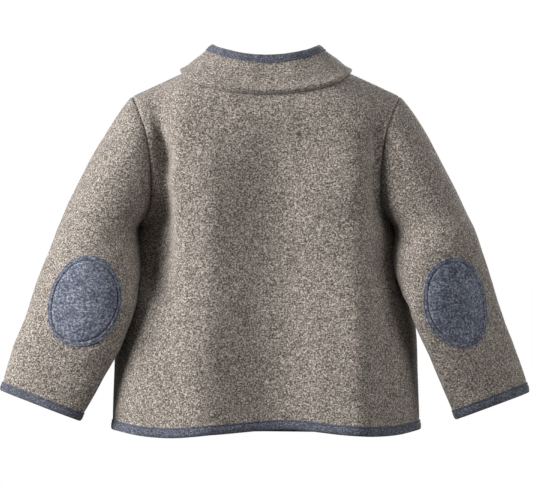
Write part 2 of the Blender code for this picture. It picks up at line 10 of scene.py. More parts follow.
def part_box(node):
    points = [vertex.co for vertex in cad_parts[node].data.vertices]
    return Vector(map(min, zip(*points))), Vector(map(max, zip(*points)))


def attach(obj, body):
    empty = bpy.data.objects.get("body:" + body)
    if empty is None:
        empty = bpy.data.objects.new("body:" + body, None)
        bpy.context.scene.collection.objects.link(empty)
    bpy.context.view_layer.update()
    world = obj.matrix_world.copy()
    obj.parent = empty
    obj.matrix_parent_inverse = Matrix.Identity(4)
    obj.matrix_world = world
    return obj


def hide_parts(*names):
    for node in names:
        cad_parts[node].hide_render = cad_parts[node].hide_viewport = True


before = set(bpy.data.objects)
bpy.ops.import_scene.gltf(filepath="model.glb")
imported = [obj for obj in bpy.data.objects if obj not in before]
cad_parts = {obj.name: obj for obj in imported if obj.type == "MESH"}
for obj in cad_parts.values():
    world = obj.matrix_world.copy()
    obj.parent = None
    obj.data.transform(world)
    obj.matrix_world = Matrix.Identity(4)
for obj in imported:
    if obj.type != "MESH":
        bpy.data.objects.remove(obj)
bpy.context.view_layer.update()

# The back
# One piece of thick felted wool, with no seam down its middle, wider at the hem than at
# the armpits.  It hangs from the shoulders in a few broad soft folds.  The same felt,
# a taupe melange with a short matt nap, makes the fronts, the sleeves and the collar.
WOOL_THICKNESS = 0.0025
SEAM_GAP = 0.0001
SEAM_DEPTH = 0.0014
SEAM_SPREAD = 0.0042
SAME_PLACE = 1e-6
STRIP_WIDTH = 0.0095
STRIP_THICKNESS = 0.0012
STRIP_GAP = 0.0004

NECK_HALF_WIDTH = 0.083
NECK_SIDE_Z = 0.003
NECK_BACK_DROP = 0.0223
NECK_FRONT_DROP = 0.053
NECK_DIP_POWER = 1.25
SHOULDER_X = 0.134
SHOULDER_Z = -0.0205
SHOULDER_ROUND = 0.045
NECK_ROUND = 0.078
ARMPIT_Z = -0.150

BODY_COLUMNS = ("height", "half_width", "back_depth", "front_depth", "squareness")
BODY = (
    (-0.365, 0.1545, 0.076, 0.074, 2.5),
    (-0.300, 0.1525, 0.075, 0.074, 2.5),
    (-0.254, 0.1505, 0.073, 0.074, 2.3),
    (-0.226, 0.1460, 0.071, 0.073, 2.1),
    (-0.205, 0.1400, 0.069, 0.072, 2.0),
    (-0.178, 0.1340, 0.067, 0.070, 2.0),
    (-0.160, 0.1318, 0.067, 0.069, 2.05),
    (-0.150, 0.1282, 0.067, 0.068, 2.1),
    (-0.110, 0.1330, 0.067, 0.065, 2.4),
    (-0.070, 0.1400, 0.065, 0.060, 2.4),
    (-0.020, 0.1520, 0.060, 0.054, 2.4),
    (0.010, 0.1560, 0.056, 0.050, 2.4),
)
ARMHOLE_COLUMNS = ("height", "half_width")
ARMHOLE = (
    (-0.150, 0.1282),
    (-0.141, 0.1212),
    (-0.130, 0.1172),
    (-0.108, 0.1160),
    (-0.080, 0.1175),
    (-0.050, 0.1230),
    (-0.035, 0.1285),
    (-0.0205, 0.1340),
)
HEM_COLUMNS = ("across", "height")
BACK_HEM = (
    (-0.1545, -0.3545),
    (-0.128, -0.3600),
    (-0.102, -0.3622),
    (-0.050, -0.3588),
    (0.024, -0.3540),
    (0.085, -0.3598),
    (0.111, -0.3608),
    (0.136, -0.3588),
    (0.1545, -0.3545),
)

# Broad folds: where each runs at the chest and at the hem, where it starts, how far it
# stands out and how wide it is.  A height below zero is a trough.
BACK_FOLDS = (
    (-0.062, -0.066, -0.035, 0.0085, 0.030),
    (0.008, 0.010, -0.020, -0.0140, 0.040),
    (0.095, 0.099, -0.015, 0.0150, 0.027),
)
FOLD_FADE = 0.090
FOLD_CHEST_Z = -0.120
FOLD_HEM_Z = -0.355
FOLD_FLANK_POWER = 4

# Creases: start and end across and up, height, half width and bow to one side.
BACK_CREASES = (
    (-0.1080, -0.028, -0.1075, -0.205, -0.0155, 0.0130, 0.002),
    (-0.1180, -0.140, -0.1215, -0.215, -0.0090, 0.0090, 0.001),
    (-0.0900, -0.050, -0.0840, -0.230, 0.0026, 0.0110, 0.001),
    (0.1120, -0.045, 0.1130, -0.130, -0.0060, 0.0060, -0.001),
    (0.0900, -0.050, 0.0960, -0.200, 0.0012, 0.0100, -0.001),
    (-0.0400, -0.060, -0.0300, -0.330, -0.0012, 0.0150, 0.004),
    (0.0480, -0.090, 0.0560, -0.345, 0.0014, 0.0170, -0.003),
    (-0.0100, -0.150, -0.0020, -0.350, -0.0012, 0.0130, 0.003),
    (-0.1180, -0.250, -0.0700, -0.345, -0.0012, 0.0150, 0.003),
    (-0.0500, -0.020, -0.0300, -0.060, -0.0008, 0.0100, 0.001),
    (0.0250, -0.026, 0.0450, -0.062, -0.0008, 0.0110, -0.001),
    (0.1240, -0.235, 0.1000, -0.335, -0.0016, 0.0120, -0.003),
)
CREASE_FADE = 0.014
CREASE_OVERRUN = 0.2
CREASE_TAPER = 0.45
WANDER_SIZE = 0.035
WANDER_SEED = 900
WANDER_WIDTH = 0.3
WANDER_HEIGHT = 0.4
FELT_WAVES = ((0.034, 0.0007), (0.013, 0.00022))
CUT_EDGE_CALM = 0.03
CUT_EDGE_LIFT = 0.2
STITCH_DENT = 0.0005
STITCH_DENT_SPREAD = 0.0009
EDGE_ROUNDING = 0.8
TOP_EVENNESS = 0.4
TOP_POWER = 1.2
TOP_CROWDING = 1.5
NECK_STEPS = 44
SIDE_STEPS = 52
ROWS_BELOW_ARMPIT = 84
ROWS_ABOVE_ARMPIT = 60
WALL_SHARP_ANGLE = 62
NAP_DEPTH = 0.0011


def smooth_column(rows, columns, name):
    """A function that gives one named column of a table at a place in its first one."""
    column = columns.index(name)
    places = [row[0] for row in rows]
    values = [row[column] for row in rows]
    last = len(rows) - 1
    steps = [places[i + 1] - places[i] for i in range(last)]
    slopes = [(values[i + 1] - values[i]) / steps[i] for i in range(last)]
    tangents = [slopes[0]]
    for i in range(1, last):
        both = steps[i - 1] + steps[i]
        tangents.append((slopes[i - 1] * steps[i] + slopes[i] * steps[i - 1]) / both)
    tangents.append(slopes[-1])

    def value(at):
        at = min(max(at, places[0]), places[-1])
        i = 0
        while i < last - 1 and at > places[i + 1]:
            i += 1
        t = (at - places[i]) / steps[i]
        start = (1 + 2 * t) * (1 - t) ** 2 * values[i]
        start += t * (1 - t) ** 2 * steps[i] * tangents[i]
        end = t * t * (3 - 2 * t) * values[i + 1]
        end -= t * t * (1 - t) * steps[i] * tangents[i + 1]
        return start + end

    return value


body_half_width = smooth_column(BODY, BODY_COLUMNS, "half_width")
body_back_depth = smooth_column(BODY, BODY_COLUMNS, "back_depth")
body_front_depth = smooth_column(BODY, BODY_COLUMNS, "front_depth")
body_squareness = smooth_column(BODY, BODY_COLUMNS, "squareness")
armhole_half_width = smooth_column(ARMHOLE, ARMHOLE_COLUMNS, "half_width")
back_hem_height = smooth_column(BACK_HEM, HEM_COLUMNS, "height")


def ease(t):
    """Soft step from 0 to 1."""
    t = min(max(t, 0.0), 1.0)
    return t * t * (3 - 2 * t)


def edge_half_width(z):
    """Half width of the body at its side seam, or at the armhole above it."""
    return armhole_half_width(z) if z > ARMPIT_Z else body_half_width(z)


def fold_height(folds, x, z):
    """How far the broad folds lift the cloth at a place on the body."""
    total = 0.0
    for x_chest, x_hem, head, height, half_width in folds:
        down = (FOLD_CHEST_Z - z) / (FOLD_CHEST_Z - FOLD_HEM_Z)
        middle = x_chest + (x_hem - x_chest) * down
        fade = ease((head - z) / FOLD_FADE)
        total += height * fade * math.exp(-((x - middle) / half_width) ** 2)
    return total


def crease_height(creases, across, up):
    """How far soft, uneven creases lift the cloth: each dies out at both its ends."""
    total = 0.0
    for x_start, z_start, x_end, z_end, height, half_width, bow in creases:
        run_x = x_end - x_start
        run_z = z_end - z_start
        length = math.hypot(run_x, run_z)
        along = ((across - x_start) * run_x + (up - z_start) * run_z) / length ** 2
        if not -CREASE_OVERRUN < along < 1 + CREASE_OVERRUN:
            continue
        off = ((across - x_start) * run_z - (up - z_start) * run_x) / length
        off -= bow * 4 * along * (1 - along)
        if abs(off) > 3 * half_width:
            continue
        ends = ease((along + CREASE_OVERRUN) / CREASE_TAPER)
        ends *= ease((1 + CREASE_OVERRUN - along) / CREASE_TAPER)
        spot = Vector((across / WANDER_SIZE, up / WANDER_SIZE, height * WANDER_SEED))
        wander = noise.noise(spot)
        spread = half_width * (1 + WANDER_WIDTH * wander)
        total += height * ends * (1 + WANDER_HEIGHT * wander) * math.exp(-(off / spread) ** 2)
    return total


def felt_waves(point):
    """Slight unevenness of thick felt that was never pressed flat."""
    return sum(noise.noise(point / size) * height for size, height in FELT_WAVES)


def seam_sink(distance):
    """How far the cloth rounds down into a seam at a distance from it."""
    inward = 1 - min(distance / SEAM_SPREAD, 1.0)
    return SEAM_DEPTH * (1 - math.sqrt(1 - inward ** 2))


def ridge_height(x):
    """Height of the shoulder line, carried on smoothly over the opening of the neck."""
    slope = (NECK_SIDE_Z - SHOULDER_Z) / (SHOULDER_X - NECK_HALF_WIDTH)
    inward = NECK_HALF_WIDTH - abs(x)
    if inward < 0:
        return NECK_SIDE_Z + slope * inward
    return NECK_SIDE_Z + slope * inward * (1 - 0.5 * inward / NECK_HALF_WIDTH)


def top_height(x_top, facing):
    """Height of the neckline, or of the shoulder seam outside it."""
    across = abs(x_top)
    if across >= NECK_HALF_WIDTH:
        return ridge_height(across)
    drop = NECK_FRONT_DROP if facing > 0 else NECK_BACK_DROP
    inward = math.sqrt(1 - (across / NECK_HALF_WIDTH) ** 2)
    return NECK_SIDE_Z - drop * inward ** NECK_DIP_POWER


def body_point(share, z, z_outer, facing, folds):
    """A point of the body's form: facing is -1 on the back and 1 on the fronts."""
    x = share * edge_half_width(z_outer)
    form_width = body_half_width(z) if z > ARMPIT_Z else edge_half_width(z_outer)
    depth = body_front_depth(z) if facing > 0 else body_back_depth(z)
    power = body_squareness(z)
    inside = max(0.0, 1 - min(1.0, abs(x) / form_width) ** power)
    lift = fold_height(folds, x, z) * (1 - abs(share) ** FOLD_FLANK_POWER)
    reach = NECK_ROUND + (SHOULDER_ROUND - NECK_ROUND) * ease(abs(x) / NECK_HALF_WIDTH)
    drop = min(1.0, max(0.0, ridge_height(x) - z) / reach)
    closure = math.sqrt(1 - (1 - drop) ** 2)
    return Vector((x, facing * (depth * inside ** (1 / power) + lift) * closure, z))


def panel_rows(z_hem, z_top):
    """Heights of a panel's rows: bound hem, armpit and shoulder each lie on one."""
    z_strip = z_hem + STRIP_WIDTH
    heights = [z_hem + STRIP_GAP + STRIP_THICKNESS]
    for row in range(ROWS_BELOW_ARMPIT):
        heights.append(z_strip + (ARMPIT_Z - z_strip) * row / (ROWS_BELOW_ARMPIT - 1))
    for row in range(1, ROWS_ABOVE_ARMPIT + 1):
        rise = (1 - math.cos(math.pi * row / ROWS_ABOVE_ARMPIT)) / 2
        heights.append(ARMPIT_Z + (z_top - ARMPIT_Z) * rise)
    return heights


def cloth_normals(grid, flip, closed):
    """Unit normals of a grid of points, row by row."""
    rows = len(grid)
    columns = len(grid[0])
    normals = []
    for i in range(rows):
        line = []
        for j in range(columns):
            up = grid[min(i + 1, rows - 1)][j] - grid[max(i - 1, 0)][j]
            if closed:
                across = grid[i][(j + 1) % columns] - grid[i][j - 1]
            else:
                across = grid[i][min(j + 1, columns - 1)] - grid[i][max(j - 1, 0)]
            line.append(across.cross(up).normalized() * flip)
        normals.append(line)
    return normals


def square_to_seams(grid, normals, tops):
    """Turn the wall square to its side seams and shoulder seams."""
    top = len(grid) - 1
    slope = math.atan2(NECK_SIDE_Z - SHOULDER_Z, SHOULDER_X - NECK_HALF_WIDTH)
    for j, x_top in enumerate(tops):
        side = 1 if x_top > 0 else -1
        if abs(x_top) >= NECK_HALF_WIDTH - SAME_PLACE:
            normals[top][j] = Vector((side * math.sin(slope), 0, math.cos(slope)))
        if abs(abs(x_top) - SHOULDER_X) < SAME_PLACE:
            for i in range(ROWS_BELOW_ARMPIT):
                rise = grid[i + 1][j] - grid[max(i - 1, 0)][j]
                normals[i][j] = Vector((side * rise.z, 0, -side * rise.x)).normalized()


def run_lengths(points):
    """Distance of each point of a line from its first one, along the line."""
    run = [0.0]
    for before, after in zip(points, points[1:]):
        run.append(run[-1] + (after - before).length)
    return run


def round_edge(distance):
    """How much each face of the felt gives way at a distance from a cut edge."""
    radius = WOOL_THICKNESS / 2
    inward = 1 - min(distance / radius, 1.0)
    return EDGE_ROUNDING * radius * (1 - math.sqrt(1 - inward ** 2))


def cut_panel(tops, facing, hem_height, folds, creases, shift=None, stitch_at=None):
    """Faces of a body panel: its form, its creases, and its edges sunk into the seams."""
    side_hem = hem_height(BODY[0][1])
    outer_heights = panel_rows(side_hem, SHOULDER_Z)
    columns = []
    for x_top in tops:
        share = x_top / SHOULDER_X
        x_hem = share * BODY[0][1]
        z_hem = hem_height(x_hem if facing < 0 else abs(x_hem))
        column = []
        for z, z_outer in zip(panel_rows(z_hem, top_height(x_top, facing)), outer_heights):
            point = body_point(share, z, z_outer, facing, folds)
            if shift:
                point.y += shift(point.x)
            column.append(point)
        columns.append(column)
    from_hem = [run_lengths(column) for column in columns]
    form = [[column[i] for column in columns] for i in range(len(columns[0]))]
    normals = cloth_normals(form, -facing, False)
    square_to_seams(form, normals, tops)
    outer = []
    inner = []
    for i, (line, turned) in enumerate(zip(form, normals)):
        run = run_lengths(line)
        outer_line = []
        inner_line = []
        for j, (point, normal) in enumerate(zip(line, turned)):
            to_top = from_hem[j][-1] - from_hem[j][i]
            ends = []
            to_edge = 1.0
            for end, away in ((0, run[j]), (-1, run[-1] - run[j])):
                if abs(abs(tops[end]) - SHOULDER_X) < SAME_PLACE:
                    ends.append(away)
                else:
                    to_edge = away
            to_seam = min(ends + [to_top])
            lift = crease_height(creases, point.x, point.z) + felt_waves(point)
            lift *= ease(to_seam / CREASE_FADE)
            if to_edge < CUT_EDGE_CALM:
                calm = ease(to_edge / CUT_EDGE_CALM)
                lift *= calm * (1 - CUT_EDGE_LIFT) + CUT_EDGE_LIFT
            give = round_edge(to_edge)
            if stitch_at:
                off = (to_edge - stitch_at) / STITCH_DENT_SPREAD
                give += STITCH_DENT * math.exp(-off ** 2)
            moved = point + normal * lift
            outer_line.append(moved - normal * (seam_sink(to_seam) + give))
            inner_line.append(moved - normal * (WOOL_THICKNESS - round_edge(to_edge)))
            line[j] = moved
        outer.append(outer_line)
        inner.append(inner_line)
    for face in (form, outer, inner):
        for j, x_top in enumerate(tops):
            if abs(x_top) >= NECK_HALF_WIDTH - SAME_PLACE:
                face[-1][j].y = facing * SEAM_GAP / 2
            if abs(abs(x_top) - SHOULDER_X) < SAME_PLACE:
                for i in range(ROWS_BELOW_ARMPIT + 1):
                    face[i][j].y = facing * SEAM_GAP / 2
    return {"form": form, "outer": outer, "inner": inner, "normals": normals, "tops": tops}


def neck_and_side_tops():
    """Places across a panel's top edge, from its middle to the shoulder point.

    They lie closer together towards the neck's corner and towards the side seam.
    """
    tops = []
    for step in range(NECK_STEPS + 1):
        share = step / NECK_STEPS
        rounded = (1 - TOP_EVENNESS) * math.sin(share * math.pi / 2)
        tops.append(NECK_HALF_WIDTH * (TOP_EVENNESS * share + rounded))
    first = math.asin((NECK_HALF_WIDTH / SHOULDER_X) ** TOP_POWER)
    for step in range(1, SIDE_STEPS + 1):
        left = (1 - step / SIDE_STEPS) ** TOP_CROWDING
        turn = math.pi / 2 - (math.pi / 2 - first) * left
        tops.append(SHOULDER_X * math.sin(turn) ** (1 / TOP_POWER))
    tops[-1] = SHOULDER_X
    return tops


def grid_faces(rows, columns, closed, base=0, looped=False, flip=False):
    """Four-cornered faces of a grid of points: its rows close up, or its ends meet."""
    faces = []
    for i in range(rows if looped else rows - 1):
        low = base + i * columns
        high = base + (i + 1) % rows * columns
        for j in range(columns if closed else columns - 1):
            k = (j + 1) % columns
            face = (low + j, low + k, high + k, high + j)
            faces.append((face[0], *face[:0:-1]) if flip else face)
    return faces


def wall_points(outer, inner):
    """The points of two grids in one list, outer ones first."""
    return [tuple(point) for face in (outer, inner) for line in face for point in line]


def sew_wall(name, outer, inner, closed, material):
    """A closed wall of cloth between two grids of points, as one object."""
    rows = len(outer)
    columns = len(outer[0])
    spans = columns if closed else columns - 1
    size = rows * columns
    faces = grid_faces(rows, columns, closed)
    faces += grid_faces(rows, columns, closed, size, flip=True)
    for low, turn in ((0, 1), ((rows - 1) * columns, -1)):
        for j in range(spans):
            k = (j + 1) % columns
            faces.append((low + j, size + low + j, size + low + k, low + k)[::turn])
    if not closed:
        for j, turn in ((0, 1), (columns - 1, -1)):
            for i in range(rows - 1):
                low = i * columns + j
                high = low + columns
                faces.append((low, high, size + high, size + low)[::turn])
    return sew_object(name, wall_points(outer, inner), faces, material, WALL_SHARP_ANGLE)


def sew_object(name, points, faces, material, sharp_angle):
    """A mesh object with outward faces that rides on the jacket."""
    mesh = bpy.data.meshes.new(name)
    mesh.from_pydata(points, [], faces)
    mesh.validate()
    volume = 0.0
    mesh.calc_loop_triangles()
    for triangle in mesh.loop_triangles:
        a, b, c = [mesh.vertices[index].co for index in triangle.vertices]
        volume += a.dot(b.cross(c))
    if volume < 0:
        mesh.flip_normals()
    mesh.shade_smooth()
    mesh.set_sharp_from_angle(angle=math.radians(sharp_angle))
    mesh.materials.append(material)
    piece = bpy.data.objects.new(name, mesh)
    bpy.context.scene.collection.objects.link(piece)
    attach(piece, "root")
    return piece


def add_node(tree, kind, **values):
    """A shader node with some of its settings and plain inputs filled in."""
    made = tree.nodes.new(kind)
    for key, value in values.items():
        if hasattr(made, key):
            setattr(made, key, value)
        else:
            made.inputs[key.replace("_", " ")].default_value = value
    return made


def blend_colours(tree, first, second, share):
    """Mix two colours: each may be a socket or a plain colour, and so may the share."""
    made = tree.nodes.new("ShaderNodeMix")
    made.data_type = "RGBA"
    for index, value in ((6, first), (7, second), (0, share)):
        if isinstance(value, bpy.types.NodeSocket):
            tree.links.new(value, made.inputs[index])
        else:
            made.inputs[index].default_value = value
    return made.outputs[2]


def calculate(tree, operation, *values, clamp=False):
    """One step of arithmetic on sockets or plain numbers."""
    made = tree.nodes.new("ShaderNodeMath")
    made.operation = operation
    made.use_clamp = clamp
    for index, value in enumerate(values):
        if isinstance(value, bpy.types.NodeSocket):
            tree.links.new(value, made.inputs[index])
        else:
            made.inputs[index].default_value = value
    return made.outputs[0]


def melange_group():
    """Node group for fulled melange cloth: flecks, lying fibres, clouds and a nap."""
    tree = bpy.data.node_groups.new("Melange nap", "ShaderNodeTree")
    ports = tree.interface
    for name in ("Dark", "Middle", "Light"):
        ports.new_socket(name, in_out="INPUT", socket_type="NodeSocketColor")
    for name in ("Fleck Size", "Fleck Contrast", "Fibre Amount", "Cloud Amount"):
        ports.new_socket(name, in_out="INPUT", socket_type="NodeSocketFloat")
    ports.new_socket("Colour", in_out="OUTPUT", socket_type="NodeSocketColor")
    ports.new_socket("Height", in_out="OUTPUT", socket_type="NodeSocketFloat")
    given = tree.nodes.new("NodeGroupInput")
    result = tree.nodes.new("NodeGroupOutput")
    place = tree.nodes.new("ShaderNodeTexCoord").outputs["Object"]
    fineness = calculate(tree, "DIVIDE", 1.0, given.outputs["Fleck Size"])

    fleck = add_node(tree, "ShaderNodeTexNoise", Detail=3.0, Roughness=0.65)
    tree.links.new(place, fleck.inputs["Vector"])
    tree.links.new(fineness, fleck.inputs["Scale"])
    spread = calculate(tree, "SUBTRACT", fleck.outputs["Fac"], 0.5)
    spread = calculate(tree, "MULTIPLY", spread, given.outputs["Fleck Contrast"])

    fibres = []
    for turn_x, turn_y, turn_z in ((0.3, 0.55, 0.2), (-0.5, -0.95, -0.4), (0.2, 1.9, 0.9)):
        lay = add_node(tree, "ShaderNodeMapping")
        lay.inputs["Rotation"].default_value = (turn_x, turn_y, turn_z)
        lay.inputs["Scale"].default_value = (0.22, 1.0, 1.0)
        tree.links.new(place, lay.inputs["Vector"])
        strand = add_node(tree, "ShaderNodeTexNoise", Detail=1.0, Roughness=0.5)
        tree.links.new(lay.outputs["Vector"], strand.inputs["Vector"])
        tree.links.new(calculate(tree, "MULTIPLY", fineness, 1.5), strand.inputs["Scale"])
        fibres.append(strand.outputs["Fac"])
    top_fibre = calculate(tree, "MAXIMUM", fibres[0], calculate(tree, "MAXIMUM", *fibres[1:]))
    bright = calculate(tree, "SUBTRACT", top_fibre, 0.62)
    bright = calculate(tree, "MULTIPLY", bright, 7.0, clamp=True)
    low_fibre = calculate(tree, "MINIMUM", fibres[0], calculate(tree, "MINIMUM", *fibres[1:]))
    sunk = calculate(tree, "SUBTRACT", 0.38, low_fibre)
    sunk = calculate(tree, "MULTIPLY", sunk, 6.0, clamp=True)

    cloud = add_node(tree, "ShaderNodeTexNoise", Scale=95.0, Detail=3.0, Roughness=0.6)
    tree.links.new(place, cloud.inputs["Vector"])
    drift = calculate(tree, "SUBTRACT", cloud.outputs["Fac"], 0.5)
    drift = calculate(tree, "MULTIPLY", drift, given.outputs["Cloud Amount"])

    shade = calculate(tree, "ADD", spread, 0.5)
    shade = calculate(tree, "ADD", shade, drift)
    shade = calculate(tree, "MULTIPLY_ADD", bright, given.outputs["Fibre Amount"], shade)
    dimmed = calculate(tree, "MULTIPLY", sunk, given.outputs["Fibre Amount"])
    shade = calculate(tree, "SUBTRACT", shade, dimmed, clamp=True)
    low = calculate(tree, "MULTIPLY", shade, 2.0, clamp=True)
    high = calculate(tree, "MULTIPLY_ADD", shade, 2.0, -1.0, clamp=True)
    first = blend_colours(tree, given.outputs["Dark"], given.outputs["Middle"], low)
    second = blend_colours(tree, first, given.outputs["Light"], high)
    tree.links.new(second, result.inputs["Colour"])

    height = calculate(tree, "MULTIPLY_ADD", bright, 0.35, fleck.outputs["Fac"])
    height = calculate(tree, "MULTIPLY_ADD", sunk, -0.35, height)
    tree.links.new(height, result.inputs["Height"])
    return tree


MELANGE = melange_group()


def new_material(name):
    """A material with its node tree and its shader."""
    material = bpy.data.materials.new(name)
    material.use_nodes = True
    return material, material.node_tree, material.node_tree.nodes["Principled BSDF"]


def raise_surface(tree, shader, height, strength, distance):
    """Let a socket's value stand out as a fine bump."""
    bump = add_node(tree, "ShaderNodeBump", Strength=strength, Distance=distance)
    tree.links.new(height, bump.inputs["Height"])
    tree.links.new(bump.outputs["Normal"], shader.inputs["Normal"])


def melange_cloth(name, dark, middle, light, values, nap, roughness, sheen):
    """A finished cloth: melange colours, and a nap that gives it its matt bloom."""
    material, tree, shader = new_material(name)
    melange = tree.nodes.new("ShaderNodeGroup")
    melange.node_tree = MELANGE
    for port, colour in (("Dark", dark), ("Middle", middle), ("Light", light)):
        melange.inputs[port].default_value = (*colour, 1.0)
    for port, value in values.items():
        melange.inputs[port].default_value = value
    tree.links.new(melange.outputs["Colour"], shader.inputs["Base Color"])
    raise_surface(tree, shader, melange.outputs["Height"], nap, NAP_DEPTH)
    shader.inputs["Roughness"].default_value = roughness
    shader.inputs["Specular IOR Level"].default_value = 0.15
    shader.inputs["Sheen Weight"].default_value = sheen
    shader.inputs["Sheen Roughness"].default_value = 0.5
    shader.inputs["Sheen Tint"].default_value = (0.9, 0.87, 0.84, 1.0)
    return material


wool = melange_cloth(
    "wool",
    (0.050, 0.041, 0.034),
    (0.200, 0.170, 0.146),
    (0.530, 0.478, 0.430),
    {"Fleck Size": 0.0015, "Fleck Contrast": 3.3, "Fibre Amount": 0.36, "Cloud Amount": 0.30},
    1.0, 0.95, 0.22,
)

half_tops = neck_and_side_tops()
mirrored_tops = [-x for x in reversed(half_tops[1:])]
back_panel = cut_panel(mirrored_tops + half_tops, -1, back_hem_height, BACK_FOLDS, BACK_CREASES)
back = sew_wall("wool_back", back_panel["outer"], back_panel["inner"], False, wool)
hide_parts("back")

# The fronts
# Two pieces of the same felt.  The left one laps over the right one at the middle, and
# its cut edge is left as it is, rounded by wear, with one row of stitches beside it.
LAP_HALF = 0.011
LAP_LIFT = 0.0063
LAP_FULL_X = 0.018
LAP_START_X = 0.050
FRONT_STITCH_IN = 0.0055
FRONT_STITCH_STEP = 0.0052
FRONT_HEM = (
    (0.0, -0.3575),
    (0.060, -0.3580),
    (0.110, -0.3580),
    (0.1545, -0.3545),
)
FRONT_FOLDS = (
    (-0.070, -0.084, -0.090, 0.0040, 0.026),
    (-0.105, -0.050, -0.070, -0.0040, 0.022),
    (0.048, 0.060, -0.060, -0.0040, 0.026),
    (0.082, 0.096, -0.110, 0.0045, 0.024),
)
FRONT_CREASES = (
    (-0.1110, -0.050, -0.1080, -0.180, -0.0040, 0.0085, 0.002),
    (0.1110, -0.050, 0.1080, -0.175, -0.0040, 0.0085, -0.002),
    (-0.0960, -0.130, -0.0300, -0.190, -0.0012, 0.0120, 0.004),
    (0.0940, -0.140, 0.0360, -0.205, -0.0014, 0.0130, -0.004),
    (-0.0900, -0.235, -0.0420, -0.345, 0.0014, 0.0140, 0.004),
    (0.1060, -0.225, 0.0780, -0.350, -0.0016, 0.0130, -0.003),
    (0.0300, -0.215, 0.0360, -0.345, 0.0012, 0.0150, 0.002),
    (-0.0560, -0.065, -0.0360, -0.130, -0.0010, 0.0120, 0.002),
    (0.0580, -0.065, 0.0400, -0.125, -0.0010, 0.0120, -0.002),
)
LAP_EDGE_STEPS = (0.0, 0.0002, 0.0005, 0.0009, 0.0014, 0.0023, 0.0034, 0.0045, 0.0052, 0.0058)
LAP_EDGE_STEPS += (0.0066, 0.0078, 0.0092)

front_hem_height = smooth_column(FRONT_HEM, HEM_COLUMNS, "height")


def lap_lift(x):
    """Forward lift of the left front where it lies over the right one."""
    return LAP_LIFT * ease((x + LAP_START_X) / (LAP_START_X - LAP_FULL_X))


left_tops = mirrored_tops + [0.0] + [LAP_HALF - step for step in reversed(LAP_EDGE_STEPS)]
right_tops = [step - LAP_HALF for step in LAP_EDGE_STEPS] + half_tops
front_panels = {
    "left": cut_panel(
        left_tops, 1, front_hem_height, FRONT_FOLDS, FRONT_CREASES, lap_lift, FRONT_STITCH_IN,
    ),
    "right": cut_panel(right_tops, 1, front_hem_height, FRONT_FOLDS, FRONT_CREASES),
}
for name, panel in front_panels.items():
    front = sew_wall("wool_front_" + name, panel["outer"], panel["inner"], False, wool)
    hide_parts("front_" + name)

# The sleeves
# One piece of felt each, set into the armhole with a full, rounded cap and sewn into a
# tube under the arm.  They hang slightly bent, and crease at the armpit and the elbow.
# Sections run down the sleeve: "out" is the distance from the middle of the body, and
# "roll" turns the flattened tube about its own length.
SLEEVE_COLUMNS = ("along", "out", "forward", "height", "half_width", "half_depth", "roll")
SLEEVE_SECTIONS = {
    "left": (
        (0.000, 0.1638, -0.010, -0.1420, 0.0375, 0.0460, 0.0),
        (0.030, 0.1676, -0.0205, -0.1712, 0.0450, 0.0470, 9.0),
        (0.058, 0.1735, -0.0305, -0.1995, 0.0500, 0.0410, 12.0),
        (0.082, 0.1808, -0.0345, -0.2215, 0.0520, 0.0335, 12.0),
        (0.115, 0.1920, -0.0345, -0.2540, 0.0510, 0.0275, 12.0),
        (0.154, 0.2087, -0.031, -0.2890, 0.0485, 0.0215, 12.0),
        (0.191, 0.2230, -0.027, -0.3230, 0.0445, 0.0185, 12.0),
        (0.200, 0.2260, -0.026, -0.3305, 0.0432, 0.0180, 12.0),
    ),
    "right": (
        (0.000, 0.1636, -0.008, -0.1444, 0.0375, 0.0460, 0.0),
        (0.025, 0.1676, -0.0165, -0.1690, 0.0440, 0.0480, 20.0),
        (0.048, 0.1735, -0.0205, -0.1910, 0.0480, 0.0405, 31.0),
        (0.070, 0.1820, -0.0215, -0.2115, 0.0510, 0.0315, 37.0),
        (0.095, 0.1900, -0.0200, -0.2350, 0.0530, 0.0252, 40.0),
        (0.133, 0.2040, -0.0170, -0.2700, 0.0510, 0.0220, 39.0),
        (0.167, 0.2165, -0.0160, -0.3015, 0.0480, 0.0200, 35.0),
        (0.192, 0.2250, -0.0160, -0.3250, 0.0450, 0.0185, 31.0),
        (0.198, 0.2270, -0.0160, -0.3310, 0.0438, 0.0180, 30.0),
    ),
}
SLEEVE_TILT = {"left": 21.0, "right": 20.0}
SLEEVE_SIDES = {"left": -1, "right": 1}
CAP_BULGE = 0.0085
CAP_BULGE_POWER = 0.7
CAP_BULGE_OUT = 0.45
CAP_BULGE_RISE = 0.2
CAP_RINGS = 30
CAP_CROWDING = 1.35
TUBE_RINGS = 92
UNDERARM_FIRST = 3
UNDERARM_LAST = CAP_RINGS + 20
UNDERARM_PASSES = 14
UNDERARM_RINGS_IN = 6
UNDERARM_RINGS_OUT = 10
UNDERARM_TURN = 180
UNDERARM_SPREAD = 34
UNDERARM_SMOOTHING = 0.6
UNDERARM_KEPT = 0.75
ARMHOLE_BLEND = 0.007
